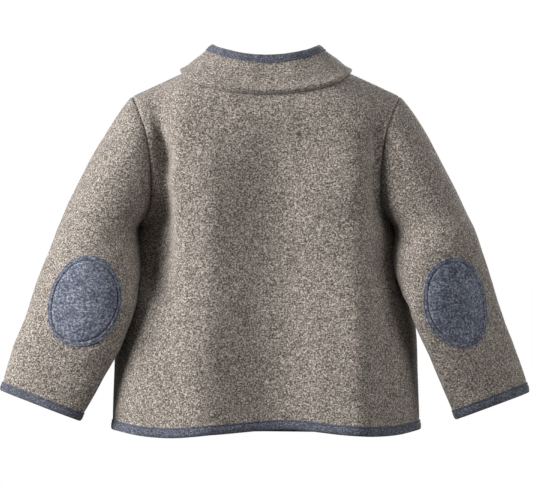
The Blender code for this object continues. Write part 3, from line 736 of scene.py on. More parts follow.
# Creases by turn round the sleeve in degrees, 0 at its outer edge and 90 at its back,
# and by distance down from the underarm.
DEGREE_LENGTH = 0.0008
SLEEVE_CREASES = {
    "left": (
        (150, 0.004, 95, 0.030, -0.0018, 0.0060, 0.002),
        (165, 0.024, 120, 0.052, -0.0016, 0.0065, 0.002),
        (205, 0.056, 262, 0.078, -0.0022, 0.0065, -0.003),
        (200, 0.080, 255, 0.092, -0.0018, 0.0060, 0.002),
        (210, 0.106, 265, 0.100, -0.0014, 0.0060, 0.002),
        (262, 0.020, 300, 0.060, -0.0018, 0.0075, 0.003),
        (310, 0.060, 285, 0.130, 0.0014, 0.0090, 0.002),
        (60, 0.140, 110, 0.170, -0.0010, 0.0080, 0.002),
        (140, 0.110, 100, 0.160, 0.0012, 0.0090, 0.002),
        (330, 0.030, 10, 0.075, -0.0010, 0.0090, 0.003),
    ),
    "right": (
        (155, 0.006, 100, 0.028, -0.0018, 0.0060, 0.002),
        (170, 0.028, 125, 0.060, -0.0014, 0.0065, 0.002),
        (205, 0.050, 258, 0.070, -0.0022, 0.0065, -0.003),
        (198, 0.074, 255, 0.086, -0.0018, 0.0060, 0.002),
        (215, 0.104, 268, 0.096, -0.0014, 0.0060, 0.002),
        (262, 0.018, 300, 0.055, -0.0018, 0.0075, 0.003),
        (315, 0.060, 285, 0.125, 0.0014, 0.0090, 0.002),
        (70, 0.150, 115, 0.170, -0.0010, 0.0080, 0.002),
        (135, 0.120, 100, 0.165, 0.0010, 0.0090, 0.002),
        (330, 0.030, 10, 0.075, -0.0010, 0.0090, 0.003),
    ),
}
CREASES_BY_LENGTH = {
    hand: tuple(
        (start * DEGREE_LENGTH, top, end * DEGREE_LENGTH, bottom, height, width, bow)
        for start, top, end, bottom, height, width, bow in creases
    )
    for hand, creases in SLEEVE_CREASES.items()
}
sleeve_columns = {
    hand: {name: smooth_column(rows, SLEEVE_COLUMNS, name) for name in SLEEVE_COLUMNS[1:]}
    for hand, rows in SLEEVE_SECTIONS.items()
}


def sleeve_point(hand, along, turn):
    """A point of the sleeve's form at a distance down it and a turn round it."""
    side = SLEEVE_SIDES[hand]
    at = {name: value(along) for name, value in sleeve_columns[hand].items()}
    tilt = math.radians(SLEEVE_TILT[hand])
    roll = math.radians(at["roll"])
    angle = math.radians(turn)
    outward = Vector((side * math.cos(tilt), 0, math.sin(tilt)))
    forward = Vector((0, 1, 0))
    first = outward * math.cos(roll) + forward * math.sin(roll)
    second = outward * math.sin(roll) - forward * math.cos(roll)
    centre = Vector((side * at["out"], at["forward"], at["height"]))
    wide = first * (at["half_width"] * math.cos(angle))
    return centre + wide + second * (at["half_depth"] * math.sin(angle))


def sleeve_lift(hand, along, turn, point):
    """How far creases and the felt's unevenness lift a place on the sleeve."""
    lift = felt_waves(point)
    for lap in (-360, 0, 360):
        across = (turn + lap) * DEGREE_LENGTH
        lift += crease_height(CREASES_BY_LENGTH[hand], across, along)
    return lift


def armhole_edge(side, front):
    """Edge of the armhole: from the shoulder down the back, and up the front."""
    top = ROWS_BELOW_ARMPIT + ROWS_ABOVE_ARMPIT
    end = 0 if side < 0 else -1
    points = []
    inners = []
    for turn in range(2 * ROWS_ABOVE_ARMPIT):
        panel = back_panel if turn <= ROWS_ABOVE_ARMPIT else front
        row = top - turn
        if turn > ROWS_ABOVE_ARMPIT:
            row = turn + ROWS_BELOW_ARMPIT - ROWS_ABOVE_ARMPIT
        points.append(panel["form"][row][end].copy())
        inners.append(panel["inner"][row][end].copy())
        if turn in (0, ROWS_ABOVE_ARMPIT):
            points[-1].y = 0.0
            inners[-1].y = 0.0
    return points, inners


def set_in_sleeve(hand):
    """Faces of a sleeve, ring by ring from the armhole to the cuff."""
    side = SLEEVE_SIDES[hand]
    start, start_inner = armhole_edge(side, front_panels[hand])
    count = len(start)
    turns = [360.0 * j / count for j in range(count)]
    length = SLEEVE_SECTIONS[hand][-1][0]
    first_ring = [sleeve_point(hand, 0.0, turn) for turn in turns]
    rings = [start]
    downs = [None]
    for step in range(1, CAP_RINGS):
        station = (step / CAP_RINGS) ** CAP_CROWDING
        ring = []
        for j, turn in enumerate(turns):
            angle = math.radians(turn)
            fullness = 1 - ((1 - math.cos(angle)) / 2) ** 2
            swell = CAP_BULGE * fullness * math.sin(math.pi * station ** CAP_BULGE_POWER)
            out_x = side * CAP_BULGE_OUT * max(0.0, math.cos(angle))
            out = Vector((out_x, -math.sin(angle), CAP_BULGE_RISE * math.cos(angle)))
            ring.append(start[j].lerp(first_ring[j], station) + out * swell)
        rings.append(ring)
        downs.append(None)
    strip_start = length - STRIP_WIDTH
    for step in range(TUBE_RINGS + 1):
        downs.append(strip_start * step / TUBE_RINGS)
        rings.append([sleeve_point(hand, downs[-1], turn) for turn in turns])
    downs.append(length - STRIP_GAP - STRIP_THICKNESS)
    rings.append([sleeve_point(hand, downs[-1], turn) for turn in turns])
    soften_underarm(rings)
    from_armhole = [run_lengths([ring[j] for ring in rings]) for j in range(count)]
    normals = cloth_normals(rings, side, True)
    outer = []
    inner = []
    for i, (ring, turned) in enumerate(zip(rings, normals)):
        outer_ring = []
        inner_ring = []
        for j, (point, normal) in enumerate(zip(ring, turned)):
            away = from_armhole[j][i]
            down = downs[i] if downs[i] is not None else away - from_armhole[j][CAP_RINGS]
            wall = (start[j] - start_inner[j]).normalized()
            facing = wall.lerp(normal, ease(away / ARMHOLE_BLEND)).normalized()
            lift = sleeve_lift(hand, down, turns[j], point) * ease(away / CREASE_FADE)
            outer_ring.append(point + facing * (lift - seam_sink(away)))
            inner_ring.append(point + facing * (lift - WOOL_THICKNESS))
        outer.append(outer_ring)
        inner.append(inner_ring)
    return {"outer": outer, "inner": inner, "normals": normals}


def soften_underarm(rings):
    """Round off the kink where the cap runs into the tube of the sleeve."""
    count = len(rings[0])
    for _ in range(UNDERARM_PASSES):
        before = [[point.copy() for point in ring] for ring in rings]
        for i in range(UNDERARM_FIRST, UNDERARM_LAST):
            share = ease((i - UNDERARM_FIRST) / UNDERARM_RINGS_IN)
            share *= UNDERARM_SMOOTHING * ease((UNDERARM_LAST - i) / UNDERARM_RINGS_OUT)
            for j in range(count):
                middle = (before[i - 1][j] + before[i + 1][j]) / 2
                off = (360.0 * j / count - UNDERARM_TURN) / UNDERARM_SPREAD
                kept = UNDERARM_KEPT * math.exp(-off ** 2)
                rings[i][j] = before[i][j].lerp(middle, share * (1 - kept))


sleeve_walls = {}
for name in SLEEVE_SIDES:
    wall = set_in_sleeve(name)
    sleeve = sew_wall("wool_sleeve_" + name, wall["outer"], wall["inner"], True, wool)
    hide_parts("sleeve_" + name)
    sleeve_walls[name] = wall

# The collar
# A stand band of the same felt, sewn round the neck.  It leans inward as it rises, and
# bulges a little over the seam, so that the seam lies in a deep narrow shadow.
COLLAR_TOP_HALF_WIDTH = 0.0525
COLLAR_TOP_BACK_Y = 0.041
COLLAR_TOP_FRONT_Y = 0.042
COLLAR_TOP_SIDE_Z = 0.0310
COLLAR_TOP_BACK_Z = 0.0205
COLLAR_TOP_FRONT_Z = -0.0120
COLLAR_TOP_POWER = 1.6
COLLAR_BULGE = 0.0040
COLLAR_BULGE_POWER = 0.45
COLLAR_ROLL = 0.0034
COLLAR_ROLL_AT = 0.13
COLLAR_ROLL_SPREAD = 0.09
COLLAR_FRONT_Y = 0.045
COLLAR_FRONT_CALM = 0.65
COLLAR_SEAM_BLEND = 0.004
COLLAR_WAVE = 0.0006
COLLAR_WAVE_SIZE = 0.022
COLLAR_ROW_CROWDING = 1.5
COLLAR_ROWS = 26
COLLAR_STRIP_WIDTH = 0.0085


def collar_top(angle):
    """A point of the collar's finished edge: angle is 0 at the back, 180 in front."""
    turn = math.radians(angle)
    back_share = math.cos(turn)
    depth = COLLAR_TOP_BACK_Y if back_share > 0 else COLLAR_TOP_FRONT_Y
    end_z = COLLAR_TOP_BACK_Z if back_share > 0 else COLLAR_TOP_FRONT_Z
    fall = abs(back_share) ** COLLAR_TOP_POWER
    z = COLLAR_TOP_SIDE_Z + (end_z - COLLAR_TOP_SIDE_Z) * fall
    return Vector((COLLAR_TOP_HALF_WIDTH * math.sin(turn), -depth * back_share, z))


def neck_edge():
    """The neckline from the right front round the back to the left front."""
    edge = []
    for panel, facing in ((front_panels["right"], 1), (back_panel, -1), (front_panels["left"], 1)):
        columns = [j for j, x in enumerate(panel["tops"]) if abs(x) <= NECK_HALF_WIDTH + SAME_PLACE]
        if facing < 0:
            columns = columns[-2:0:-1]
        for j in columns:
            share = max(-1.0, min(1.0, panel["tops"][j] / NECK_HALF_WIDTH))
            turn = math.degrees(math.asin(share))
            top = collar_top(turn if facing < 0 else 180 - turn)
            if panel is front_panels["left"]:
                top.y += lap_lift(top.x)
            edge.append((panel["form"][-1][j], panel["inner"][-1][j], top))
    return edge


collar_shares = [(step / COLLAR_ROWS) ** COLLAR_ROW_CROWDING for step in range(COLLAR_ROWS)]
collar_grid = []
for share in collar_shares + ["strip", "edge"]:
    row = []
    for start, start_inner, top in neck_edge():
        height = (top - start).length
        part = share
        if share == "strip":
            part = 1 - COLLAR_STRIP_WIDTH / height
        elif share == "edge":
            part = 1 - (STRIP_GAP + STRIP_THICKNESS) / height
        else:
            part *= 1 - (COLLAR_STRIP_WIDTH + STRIP_GAP) / height
        away = Vector((start.x, start.y, 0)).normalized()
        swell = COLLAR_BULGE * math.sin(math.pi * min(1.0, part ** COLLAR_BULGE_POWER))
        off = (part - COLLAR_ROLL_AT) / COLLAR_ROLL_SPREAD
        swell += COLLAR_ROLL * math.exp(-off ** 2)
        swell *= 1 - COLLAR_FRONT_CALM * ease(start.y / COLLAR_FRONT_Y)
        row.append(start.lerp(top, part) + away * swell)
    collar_grid.append(row)
collar_normals = cloth_normals(collar_grid, -1, False)
collar_wall = {"outer": [], "inner": [], "normals": collar_normals}
for i, (row, turned) in enumerate(zip(collar_grid, collar_normals)):
    outer_row = []
    inner_row = []
    run = run_lengths(row)
    for j, ((start, start_inner, top), point, normal) in enumerate(zip(neck_edge(), row, turned)):
        away = (point - start).length
        wall = (start - start_inner).normalized()
        facing = wall.lerp(normal, ease(away / COLLAR_SEAM_BLEND)).normalized()
        lift = felt_waves(point) + COLLAR_WAVE * noise.noise(point / COLLAR_WAVE_SIZE)
        lift *= ease(away / CREASE_FADE)
        to_edge = min(run[j], run[-1] - run[j])
        give = round_edge(to_edge)
        outer_row.append(point + facing * (lift - seam_sink(away) - give))
        inner_row.append(point + facing * (lift - WOOL_THICKNESS + give))
    collar_wall["outer"].append(outer_row)
    collar_wall["inner"].append(inner_row)
collar = sew_wall(
    "wool_collar", collar_wall["outer"], collar_wall["inner"], False, wool,
)
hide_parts("collar")

# The bound edges
# Strips of blue-grey melange jersey, folded over the raw edges of the collar, the hem
# and the cuffs, and held by one row of stitches near the strip's inner edge.
# The strip's face, by distance from its inner edge and height above the felt.
STRIP_FACE = (
    (0.0000, 0.00010),
    (0.0000, 0.00065),
    (0.0004, 0.00105),
    (0.0010, 0.00115),
    (0.0016, 0.00085),
    (0.0020, 0.00070),
    (0.0024, 0.00085),
    (0.0031, 0.00130),
    (0.0044, 0.00150),
    (0.0060, 0.00155),
)
STRIP_STITCH = 5
STRIP_FOLD = 0.00150
STRIP_FOLD_TURNS = (12, 38, 64, 90, 116, 142, 168)
STRIP_FOLD_REACH = 1.6
STRIP_INSIDE = 0.00005
STRIP_PUFFS = ((0.006, 0.22), (0.0023, 0.12))
jersey = melange_cloth(
    "jersey",
    (0.013, 0.015, 0.022),
    (0.064, 0.070, 0.092),
    (0.235, 0.247, 0.295),
    {"Fleck Size": 0.0014, "Fleck Contrast": 2.1, "Fibre Amount": 0.30, "Cloud Amount": 0.30},
    0.55, 0.9, 0.2,
)


def edge_frames(wall, row, strip_row, order=1, skip_last=False):
    """Outer and inner points and normals at a piece's edge and at the strip's edge."""
    frames = []
    for j in range(len(wall["outer"][row]))[::order]:
        here = (wall["outer"][row][j], wall["inner"][row][j], wall["normals"][row][j])
        there = wall["outer"][strip_row][j], wall["inner"][strip_row][j]
        frames.append((here, (*there, wall["normals"][strip_row][j])))
    return frames[:-1] if skip_last else frames


def bind_edge(name, frames, closed):
    """A strip folded over an edge, and the line that its stitches follow."""
    sections = []
    stitch_line = []
    for (e_out, e_in, e_n), (s_out, s_in, s_n) in frames:
        length = (e_out - s_out).length
        down = (e_out - s_out) / length
        puff = 1 + sum(share * noise.noise(s_out / size) for size, share in STRIP_PUFFS)
        section = []
        for step, height in STRIP_FACE:
            normal = s_n.lerp(e_n, step / length).normalized()
            section.append(s_out + down * step + normal * (height * puff))
        stitch_line.append((section[STRIP_STITCH].copy(), s_n.copy()))
        middle = (e_out + e_in) / 2
        reach = (e_out - e_in).length / 2 + STRIP_FOLD * puff
        for turn in STRIP_FOLD_TURNS:
            angle = math.radians(turn)
            out = e_n * (math.cos(angle) * reach)
            section.append(middle + out + down * (math.sin(angle) * STRIP_FOLD * STRIP_FOLD_REACH))
        down_inside = (s_in - e_in).normalized()
        inside_length = (s_in - e_in).length
        for step, height in reversed(STRIP_FACE):
            normal = s_n.lerp(e_n, step / length).normalized()
            place = s_in - down_inside * min(step, inside_length)
            section.append(place - normal * (height * puff))
        section.append(e_in - e_n * STRIP_INSIDE + down * STRIP_INSIDE)
        section.append(e_out + e_n * STRIP_INSIDE + down * STRIP_INSIDE)
        sections.append(section)
    size = len(sections[0])
    points = [tuple(point) for section in sections for point in section]
    faces = grid_faces(len(sections), size, True, looped=closed)
    if not closed:
        faces.append(tuple(range(size)))
        faces.append(tuple(range(len(points) - 1, len(points) - size - 1, -1)))
    strip = sew_object(name, points, faces, jersey, 70)
    return strip, stitch_line


THREAD_RADIUS = 0.00026
STITCH_LENGTH = 0.0024
STITCH_GAP = 0.0008
STITCH_SPAN = (-0.5, -0.42, -0.2, 0.2, 0.42, 0.5)
STITCH_FULLNESS = (0.35, 0.8, 1.0, 1.0, 0.8, 0.35)
STITCH_ARCH = (-0.9, -0.3, 0.25, 0.25, -0.3, -0.9)
STITCH_SIDES = 6


def thread_colour(name, colour):
    """Smooth sewing thread: slightly glossy, with the twist as a fine bump."""
    material, tree, shader = new_material(name)
    place = add_node(tree, "ShaderNodeTexCoord").outputs["Object"]
    twist = add_node(tree, "ShaderNodeTexNoise", Scale=2600.0, Detail=1.0)
    tree.links.new(place, twist.inputs["Vector"])
    pale = tuple(min(1.0, part * 1.8) for part in colour)
    shade = blend_colours(tree, (*colour, 1.0), (*pale, 1.0), twist.outputs["Fac"])
    tree.links.new(shade, shader.inputs["Base Color"])
    raise_surface(tree, shader, twist.outputs["Fac"], 0.4, 0.0001)
    shader.inputs["Roughness"].default_value = 0.6
    return material


def sew_threads(name, strands, material, radius):
    """Short lengths of thread as one object: each strand is a centre, run and normal."""
    points = []
    faces = []
    for centre, run, normal in strands:
        length = run.length
        forward = run.normalized()
        side = forward.cross(normal).normalized()
        up = side.cross(forward)
        base = len(points)
        for share, full, arch in zip(STITCH_SPAN, STITCH_FULLNESS, STITCH_ARCH):
            middle = centre + forward * (length * share) + up * (arch * radius)
            for corner in range(STITCH_SIDES):
                angle = 2 * math.pi * corner / STITCH_SIDES
                out = side * math.cos(angle) + up * math.sin(angle)
                points.append(tuple(middle + out * (radius * full)))
        faces += grid_faces(len(STITCH_SPAN), STITCH_SIDES, True, base)
        last = base + (len(STITCH_SPAN) - 1) * STITCH_SIDES
        faces.append(tuple(range(base + STITCH_SIDES - 1, base - 1, -1)))
        faces.append(tuple(range(last, last + STITCH_SIDES)))
    return sew_object(name, points, faces, material, 80)


def stitches_along(line, closed, length=STITCH_LENGTH, gap=STITCH_GAP):
    """Strands one after another along a line of points with normals."""
    if closed:
        line = line + [line[0]]
    run = run_lengths([point for point, normal in line])
    count = max(1, int(run[-1] / (length + gap)))
    step = run[-1] / count
    strands = []
    i = 0
    for number in range(count):
        at = (number + 0.5) * step
        while run[i + 1] < at:
            i += 1
        share = (at - run[i]) / max(1e-9, run[i + 1] - run[i])
        here, normal = line[i]
        there, normal_there = line[i + 1]
        direction = (there - here).normalized()
        centre = here.lerp(there, share)
        strands.append((centre, direction * length, normal.lerp(normal_there, share)))
    return strands


strip_thread = thread_colour("strip thread", (0.024, 0.027, 0.040))
hem_frames = edge_frames(front_panels["right"], 0, 1, 1, True)
hem_frames += edge_frames(back_panel, 0, 1, -1, True)
hem_frames += edge_frames(front_panels["left"], 0, 1, 1)
for name, frames, closed, flat in (
    ("hem", hem_frames, False, (0.790, 0.0225)),
    ("collar", edge_frames(collar_wall, -1, -2), False, (0.345, 0.0205)),
    ("cuff_left", edge_frames(sleeve_walls["left"], -1, -2), True, (0.200, 0.0225)),
    ("cuff_right", edge_frames(sleeve_walls["right"], -1, -2), True, (0.200, 0.0225)),
):
    strip, line = bind_edge("strip_" + name, frames, closed)
    sewn = sew_threads(
        "strip_stitches_" + name, stitches_along(line, closed),
        strip_thread, THREAD_RADIUS,
    )
    node = name.replace("cuff_", "cuff_binding_") if "cuff" in name else name + "_binding"
    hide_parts(node)

# The elbow patches
# Ovals of blue-grey felt on the backs of the elbows.  One row of stitches runs close to
# the rim, and a second one, pulled tight, sinks into a groove further in.
PATCH_ALONG = {"left": 0.0860, "right": 0.0890}
PATCH_ACROSS = {"left": -0.0078, "right": -0.0155}
PATCH_LEAN = {"left": -11.0, "right": 3.0}
PATCH_HALF_WIDTH = 0.0375
PATCH_HALF_LENGTH = 0.0463
PATCH_FELT = 0.0016
PATCH_LIFT = 0.0003
PATCH_SEGMENTS = 132
PATCH_INWARD = (
    0.0, 0.0002, 0.0006, 0.0011, 0.0015, 0.0019, 0.0023, 0.0028, 0.0035, 0.0041,
    0.0045, 0.0048, 0.0051, 0.0054, 0.0058, 0.0063, 0.0070, 0.0085, 0.0110, 0.0140,
)
PATCH_MIDDLE_SHARES = (0.88, 0.75, 0.62, 0.50, 0.37, 0.24, 0.12)
PATCH_RIM = 0.0011
PATCH_RIM_FALL = 0.96
PATCH_PUFF = 0.0006
PATCH_PUFF_REACH = 0.012
RIM_STITCH_IN = 0.0019
RIM_STITCH_DEPTH = 0.00035
RIM_STITCH_SPREAD = 0.0005
GROOVE_IN = 0.0051
GROOVE_DEPTH = 0.00125
GROOVE_SPREAD = 0.0009
PATCH_THREAD_RADIUS = 0.00022
patch_felt = melange_cloth(
    "patch felt",
    (0.026, 0.030, 0.043),
    (0.096, 0.106, 0.142),
    (0.310, 0.330, 0.390),
    {"Fleck Size": 0.0021, "Fleck Contrast": 2.3, "Fibre Amount": 0.36, "Cloud Amount": 0.60},
    0.6, 0.95, 0.2,
)


def sleeve_surface(hand, along, turn):
    """A place on the finished sleeve, and the direction straight out of it."""
    side = SLEEVE_SIDES[hand]
    across = sleeve_point(hand, along, turn + 2) - sleeve_point(hand, along, turn - 2)
    down = sleeve_point(hand, along + 0.002, turn) - sleeve_point(hand, along - 0.002, turn)
    normal = across.cross(down).normalized() * side
    point = sleeve_point(hand, along, turn)
    return point + normal * sleeve_lift(hand, along, turn, point), normal


def turn_at(hand, along, across):
    """Turn round the sleeve at a distance across it from the middle of its back."""
    half_width = sleeve_columns[hand]["half_width"](along)
    half_depth = sleeve_columns[hand]["half_depth"](along)
    turn = 90.0
    left = abs(across)
    step = -1.0 if across > 0 else 1.0
    while left > 0:
        angle = math.radians(turn)
        reach = math.hypot(half_width * math.sin(angle), half_depth * math.cos(angle))
        used = min(left, math.radians(reach))
        turn += step * used / math.radians(reach)
        left -= used
    return turn


def patch_height(inward):
    """Height of the patch's face above the sleeve at a distance in from its rim."""
    rim = 1 - min(inward / PATCH_RIM, 1.0)
    height = PATCH_FELT * math.sqrt(1 - rim ** 2 * PATCH_RIM_FALL)
    for place, depth, spread in (
        (RIM_STITCH_IN, RIM_STITCH_DEPTH, RIM_STITCH_SPREAD),
        (GROOVE_IN, GROOVE_DEPTH, GROOVE_SPREAD),
    ):
        height -= depth * math.exp(-((inward - place) / spread) ** 2)
    return height + PATCH_PUFF * ease((inward - GROOVE_IN) / PATCH_PUFF_REACH)


def patch_ring(hand, inward, share):
    """One oval ring of the patch: its places on the sleeve, normals and rim distance."""
    ring = []
    lean = math.radians(PATCH_LEAN[hand])
    for j in range(PATCH_SEGMENTS):
        angle = 2 * math.pi * j / PATCH_SEGMENTS
        wide = (PATCH_HALF_WIDTH - inward) * share * math.cos(angle)
        long = (PATCH_HALF_LENGTH - inward) * share * math.sin(angle)
        across = PATCH_ACROSS[hand] + wide * math.cos(lean) - long * math.sin(lean)
        along = PATCH_ALONG[hand] + wide * math.sin(lean) + long * math.cos(lean)
        ring.append(sleeve_surface(hand, along, turn_at(hand, along, across)))
    return ring


def cut_patch(hand):
    """An elbow patch, and the lines of its two rows of stitches."""
    outer = []
    inner = []
    lines = {}
    stations = [(inward, 1.0) for inward in PATCH_INWARD]
    stations += [(PATCH_INWARD[-1], share) for share in PATCH_MIDDLE_SHARES]
    for inward, share in stations:
        real = inward + (1 - share) * (PATCH_HALF_WIDTH - inward)
        ring = patch_ring(hand, inward, share)
        height = patch_height(real)
        outer.append([
            point + normal * (PATCH_LIFT + height + 0.6 * felt_waves(point * 1.7))
            for point, normal in ring
        ])
        inner.append([point + normal * PATCH_LIFT for point, normal in ring])
        for label, place in (("rim", RIM_STITCH_IN), ("groove", GROOVE_IN)):
            if share == 1.0 and abs(inward - place) < SAME_PLACE:
                normals = [normal for point, normal in ring]
                lines[label] = list(zip(outer[-1], normals))
    size = PATCH_SEGMENTS
    rings = len(outer)
    faces = grid_faces(rings, size, True)
    faces += grid_faces(rings, size, True, rings * size, flip=True)
    for j in range(size):
        k = (j + 1) % size
        faces.append((j, rings * size + j, rings * size + k, k))
    for low, turn in (((rings - 1) * size, 1), ((2 * rings - 1) * size, -1)):
        faces.append(tuple(range(low, low + size))[::turn])
    points = wall_points(outer, inner)
    patch = sew_object("patch_" + hand, points, faces, patch_felt, 75)
    return patch, lines


patch_thread = thread_colour("patch thread", (0.017, 0.020, 0.030))
for name in SLEEVE_SIDES:
    patch, lines = cut_patch(name)
    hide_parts("elbow_patch_" + name)
    strands = stitches_along(lines["rim"], True, 0.0019, 0.0007)
    strands += stitches_along(lines["groove"], True, 0.0021, 0.0007)
    sewn = sew_threads("patch_stitches_" + name, strands, patch_thread, PATCH_THREAD_RADIUS)

# The buttons
# Five plain round buttons down the middle of the fronts, each sewn on through four
# holes.  Beside each one a worked buttonhole of the left front peeps out.
BUTTON_COUNT = 5
BUTTON_SLOPE_STEP = 0.004
BUTTON_PROFILE = (
    (0.0036, 0.00105),
    (0.0046, 0.00135),
    (0.0053, 0.00215),
    (0.0060, 0.00265),
    (0.0067, 0.00262),
    (0.0072, 0.00225),
    (0.0075, 0.00150),
    (0.0074, 0.00070),
    (0.0068, 0.00010),
    (0.0050, 0.00000),
)
BUTTON_SPOKES = 56
BUTTON_HOLE_AT = 0.0016
BUTTON_HOLE_RADIUS = 0.00075
BUTTONHOLE_FROM = -0.0175
BUTTONHOLE_TO = -0.0060
BUTTONHOLE_STITCH = 0.0021
BUTTONHOLE_PITCH = 0.00052
BUTTONHOLE_OFF = 0.00135
BUTTON_SEAT = 0.0013
BUTTON_THREAD_RADIUS = 0.00022
BUTTON_THREAD_LENGTH = 0.0040
BUTTON_THREAD_HEIGHT = 0.00125


def button_finish():
    """Matt pressed button: mottled brown grey, a little glossier where it is rubbed."""
    material, tree, shader = new_material("button")
    place = add_node(tree, "ShaderNodeTexCoord").outputs["Object"]
    mottle = add_node(tree, "ShaderNodeTexNoise", Scale=420.0, Detail=4.0, Distortion=1.2)
    grain = add_node(tree, "ShaderNodeTexNoise", Scale=1900.0, Detail=2.0)
    for texture in (mottle, grain):
        tree.links.new(place, texture.inputs["Vector"])
    share = calculate(tree, "SUBTRACT", mottle.outputs["Fac"], 0.35)
    share = calculate(tree, "MULTIPLY", share, 3.0, clamp=True)
    dark = (0.050, 0.041, 0.036, 1.0)
    light = (0.145, 0.120, 0.102, 1.0)
    tree.links.new(blend_colours(tree, dark, light, share), shader.inputs["Base Color"])
    rough = calculate(tree, "MULTIPLY_ADD", grain.outputs["Fac"], 0.25, 0.30)
    tree.links.new(rough, shader.inputs["Roughness"])
    raise_surface(tree, shader, grain.outputs["Fac"], 0.15, 0.0001)
    return material


def turned_solid(profile, spokes, centres):
    """Points and faces of round solids turned from one profile, one at each centre."""
    points = []
    faces = []
    for centre_x, centre_y in centres:
        base = len(points)
        for radius, height in profile:
            for spoke in range(spokes):
                angle = 2 * math.pi * spoke / spokes
                x = centre_x + radius * math.cos(angle)
                points.append((x, centre_y + radius * math.sin(angle), height))
        faces += grid_faces(len(profile), spokes, True, base, flip=True)
        faces.append(tuple(range(base, base + spokes)))
        faces.append(tuple(range(len(points) - 1, len(points) - spokes - 1, -1)))
    return points, faces


def pressed_button():
    """The mesh of one button, with its four holes bored through."""
    made = []
    holes = [(x * BUTTON_HOLE_AT, y * BUTTON_HOLE_AT) for x in (-1, 1) for y in (-1, 1)]
    for profile, spokes, centres in (
        (BUTTON_PROFILE, BUTTON_SPOKES, [(0.0, 0.0)]),
        (((BUTTON_HOLE_RADIUS, -0.002), (BUTTON_HOLE_RADIUS, 0.005)), 14, holes),
    ):
        mesh = bpy.data.meshes.new("button blank")
        points, faces = turned_solid(profile, spokes, centres)
        mesh.from_pydata(points, [], faces)
        mesh.update()
        made.append(bpy.data.objects.new("button blank", mesh))
        bpy.context.scene.collection.objects.link(made[-1])
    blank, bores = made
    boring = blank.modifiers.new("bore", "BOOLEAN")
    boring.operation = "DIFFERENCE"
    boring.solver = "EXACT"
    boring.object = bores
    bpy.context.view_layer.update()
    graph = bpy.context.evaluated_depsgraph_get()
    mesh = bpy.data.meshes.new_from_object(blank.evaluated_get(graph))
    points = [tuple(vertex.co) for vertex in mesh.vertices]
    faces = [tuple(face.vertices) for face in mesh.polygons]
    for blank_object in made:
        bpy.data.objects.remove(blank_object, do_unlink=True)
    return points, faces


def front_surface(x, z):
    """A place on the form of the left front, over the lap."""
    share = x / edge_half_width(z)
    point = body_point(share, z, z, 1, FRONT_FOLDS)
    point.y += lap_lift(x)
    return point


button_points, button_faces = pressed_button()
button_material = button_finish()
button_thread = thread_colour("button thread", (0.085, 0.080, 0.078))
wool_thread = thread_colour("wool thread", (0.105, 0.088, 0.075))
for number in range(1, BUTTON_COUNT + 1):
    low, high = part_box("button_%d" % number)
    middle = (Vector(low) + Vector(high)) / 2
    step = BUTTON_SLOPE_STEP
    across = front_surface(step, middle.z) - front_surface(-step, middle.z)
    up = front_surface(0.0, middle.z + step) - front_surface(0.0, middle.z - step)
    normal = across.cross(up).normalized()
    if normal.y < 0:
        normal.negate()
    turned = normal.to_track_quat("Z", "Y").to_matrix().to_4x4()
    place = Matrix.Translation(middle - normal * BUTTON_SEAT) @ turned
    points = [tuple(place @ Vector(point)) for point in button_points]
    button = sew_object(
        "sewn_button_%d" % number, points, button_faces, button_material, 35,
    )
    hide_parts("button_%d" % number)
    strands = []
    for share in (-1, 1):
        for shift in (-BUTTON_THREAD_RADIUS, BUTTON_THREAD_RADIUS):
            off = share * BUTTON_HOLE_AT + shift
            centre = place @ Vector((0, off, BUTTON_THREAD_HEIGHT))
            strands.append((centre, turned @ Vector((BUTTON_THREAD_LENGTH, 0, 0)), normal))
    sew_threads(
        "button_thread_%d" % number, strands, button_thread, BUTTON_THREAD_RADIUS,
    )

# Buttonholes: close cross stitches on both sides of a slit, turned round at its end.
left_form = front_panels["left"]["outer"]
front_tree = KDTree(sum(len(row) for row in left_form))
front_places = []
for i, row in enumerate(left_form):
    for j, point in enumerate(row):
        front_tree.insert(point, len(front_places))
        front_places.append((point, front_panels["left"]["normals"][i][j]))
front_tree.balance()


def on_left_front(x, z):
    """A place on the finished left front, by its distances across and up."""
    guess = front_surface(x, z)
    near = front_tree.find_n(guess, 4)
    normal = sum((front_places[index][1] for place, index, away in near), Vector())
    normal.normalize()
    anchor = front_places[near[0][1]][0]
    back_step = (guess - anchor).dot(normal)
    return guess - normal * back_step, normal


strands = []
for number in range(1, BUTTON_COUNT + 1):
    low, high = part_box("button_%d" % number)
    z = (low[2] + high[2]) / 2
    steps = int((BUTTONHOLE_TO - BUTTONHOLE_FROM) / BUTTONHOLE_PITCH)
    for step in range(steps):
        x = BUTTONHOLE_FROM + (BUTTONHOLE_TO - BUTTONHOLE_FROM) * step / (steps - 1)
        for row in (-1, 1):
            centre, normal = on_left_front(x, z + row * BUTTONHOLE_OFF)
            strands.append((centre, Vector((0, 0, BUTTONHOLE_STITCH)), normal))
    for turn in range(-80, 81, 20):
        angle = math.radians(turn)
        run = Vector((-math.cos(angle), 0, math.sin(angle)))
        centre, normal = on_left_front(
            BUTTONHOLE_FROM - 0.0002 - BUTTONHOLE_OFF * math.cos(angle),
            z + BUTTONHOLE_OFF * math.sin(angle),
        )
        strands.append((centre, run * BUTTONHOLE_STITCH, normal))
buttonholes = sew_threads("buttonhole_stitches", strands, wool_thread, THREAD_RADIUS)

# The stitches beside the lapped edge of the left front.
edge_column = left_tops.index(LAP_HALF - FRONT_STITCH_STEP)
edge_line = []
for i in range(2, len(left_form) - 3):
    edge_line.append((left_form[i][edge_column], front_panels["left"]["normals"][i][edge_column]))
edge_stitches = sew_threads(
    "front_edge_stitches", stitches_along(edge_line, False, 0.0027, 0.0009),
    wool_thread, THREAD_RADIUS,
)

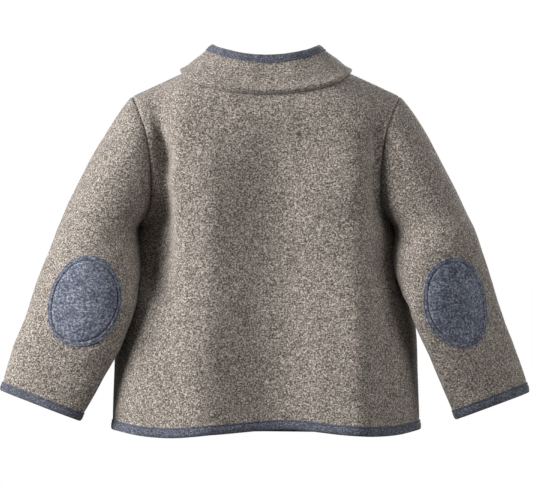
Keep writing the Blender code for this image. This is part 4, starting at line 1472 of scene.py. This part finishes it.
# The room
# The jacket hangs as if worn, in plain white, in soft light from the left of the person
# who looks at its back, with weaker light on its right and on its front.
ROOM_LIGHT = 0.13
scene = bpy.context.scene
scene.view_settings.view_transform = "Standard"
world = bpy.data.worlds.new("white room")
world.use_nodes = True
world_tree = world.node_tree
seen_white = world_tree.nodes["Background"]
seen_white.inputs["Color"].default_value = (1.0, 1.0, 1.0, 1.0)
room_light = add_node(world_tree, "ShaderNodeBackground", Strength=ROOM_LIGHT)
either = world_tree.nodes.new("ShaderNodeMixShader")
rays = world_tree.nodes.new("ShaderNodeLightPath")
world_tree.links.new(rays.outputs["Is Camera Ray"], either.inputs["Fac"])
world_tree.links.new(room_light.outputs["Background"], either.inputs[1])
world_tree.links.new(seen_white.outputs["Background"], either.inputs[2])
world_tree.links.new(either.outputs["Shader"], world_tree.nodes["World Output"].inputs["Surface"])
scene.world = world

AIM_AT = Vector((0.0, 0.0, -0.17))
LAMPS = (
    ("key light", (-2.5, -1.10, 0.50), 1.4, 178.0),
    ("fill light", (2.6, -1.20, 0.1), 1.4, 46.0),
    ("top light", (-0.2, -0.5, 2.0), 1.0, 9.0),
    ("front light", (0.9, 2.8, 0.7), 1.6, 95.0),
)
for name, place, size, power in LAMPS:
    light = bpy.data.lights.new(name, "AREA")
    light.size = size
    light.energy = power
    lamp = bpy.data.objects.new(name, light)
    lamp.location = place
    aim = AIM_AT - Vector(place)
    lamp.rotation_euler = aim.to_track_quat("-Z", "Y").to_euler()
    scene.collection.objects.link(lamp)

CAMERA_DISTANCE = 12.0
FRAME_WIDTH = 0.533
FRAME_AT_Y = -0.05
SENSOR_WIDTH = 36.0
CAMERA_X = 0.0005
CAMERA_Z = -0.1685
camera_data = bpy.data.cameras.new("camera")
camera_data.sensor_width = SENSOR_WIDTH
camera_data.lens = SENSOR_WIDTH * (CAMERA_DISTANCE + FRAME_AT_Y) / FRAME_WIDTH
camera = bpy.data.objects.new("camera", camera_data)
camera.location = (CAMERA_X, -CAMERA_DISTANCE, CAMERA_Z)
camera.rotation_euler = (math.pi / 2, 0.0, 0.0)
scene.collection.objects.link(camera)
scene.camera = camera
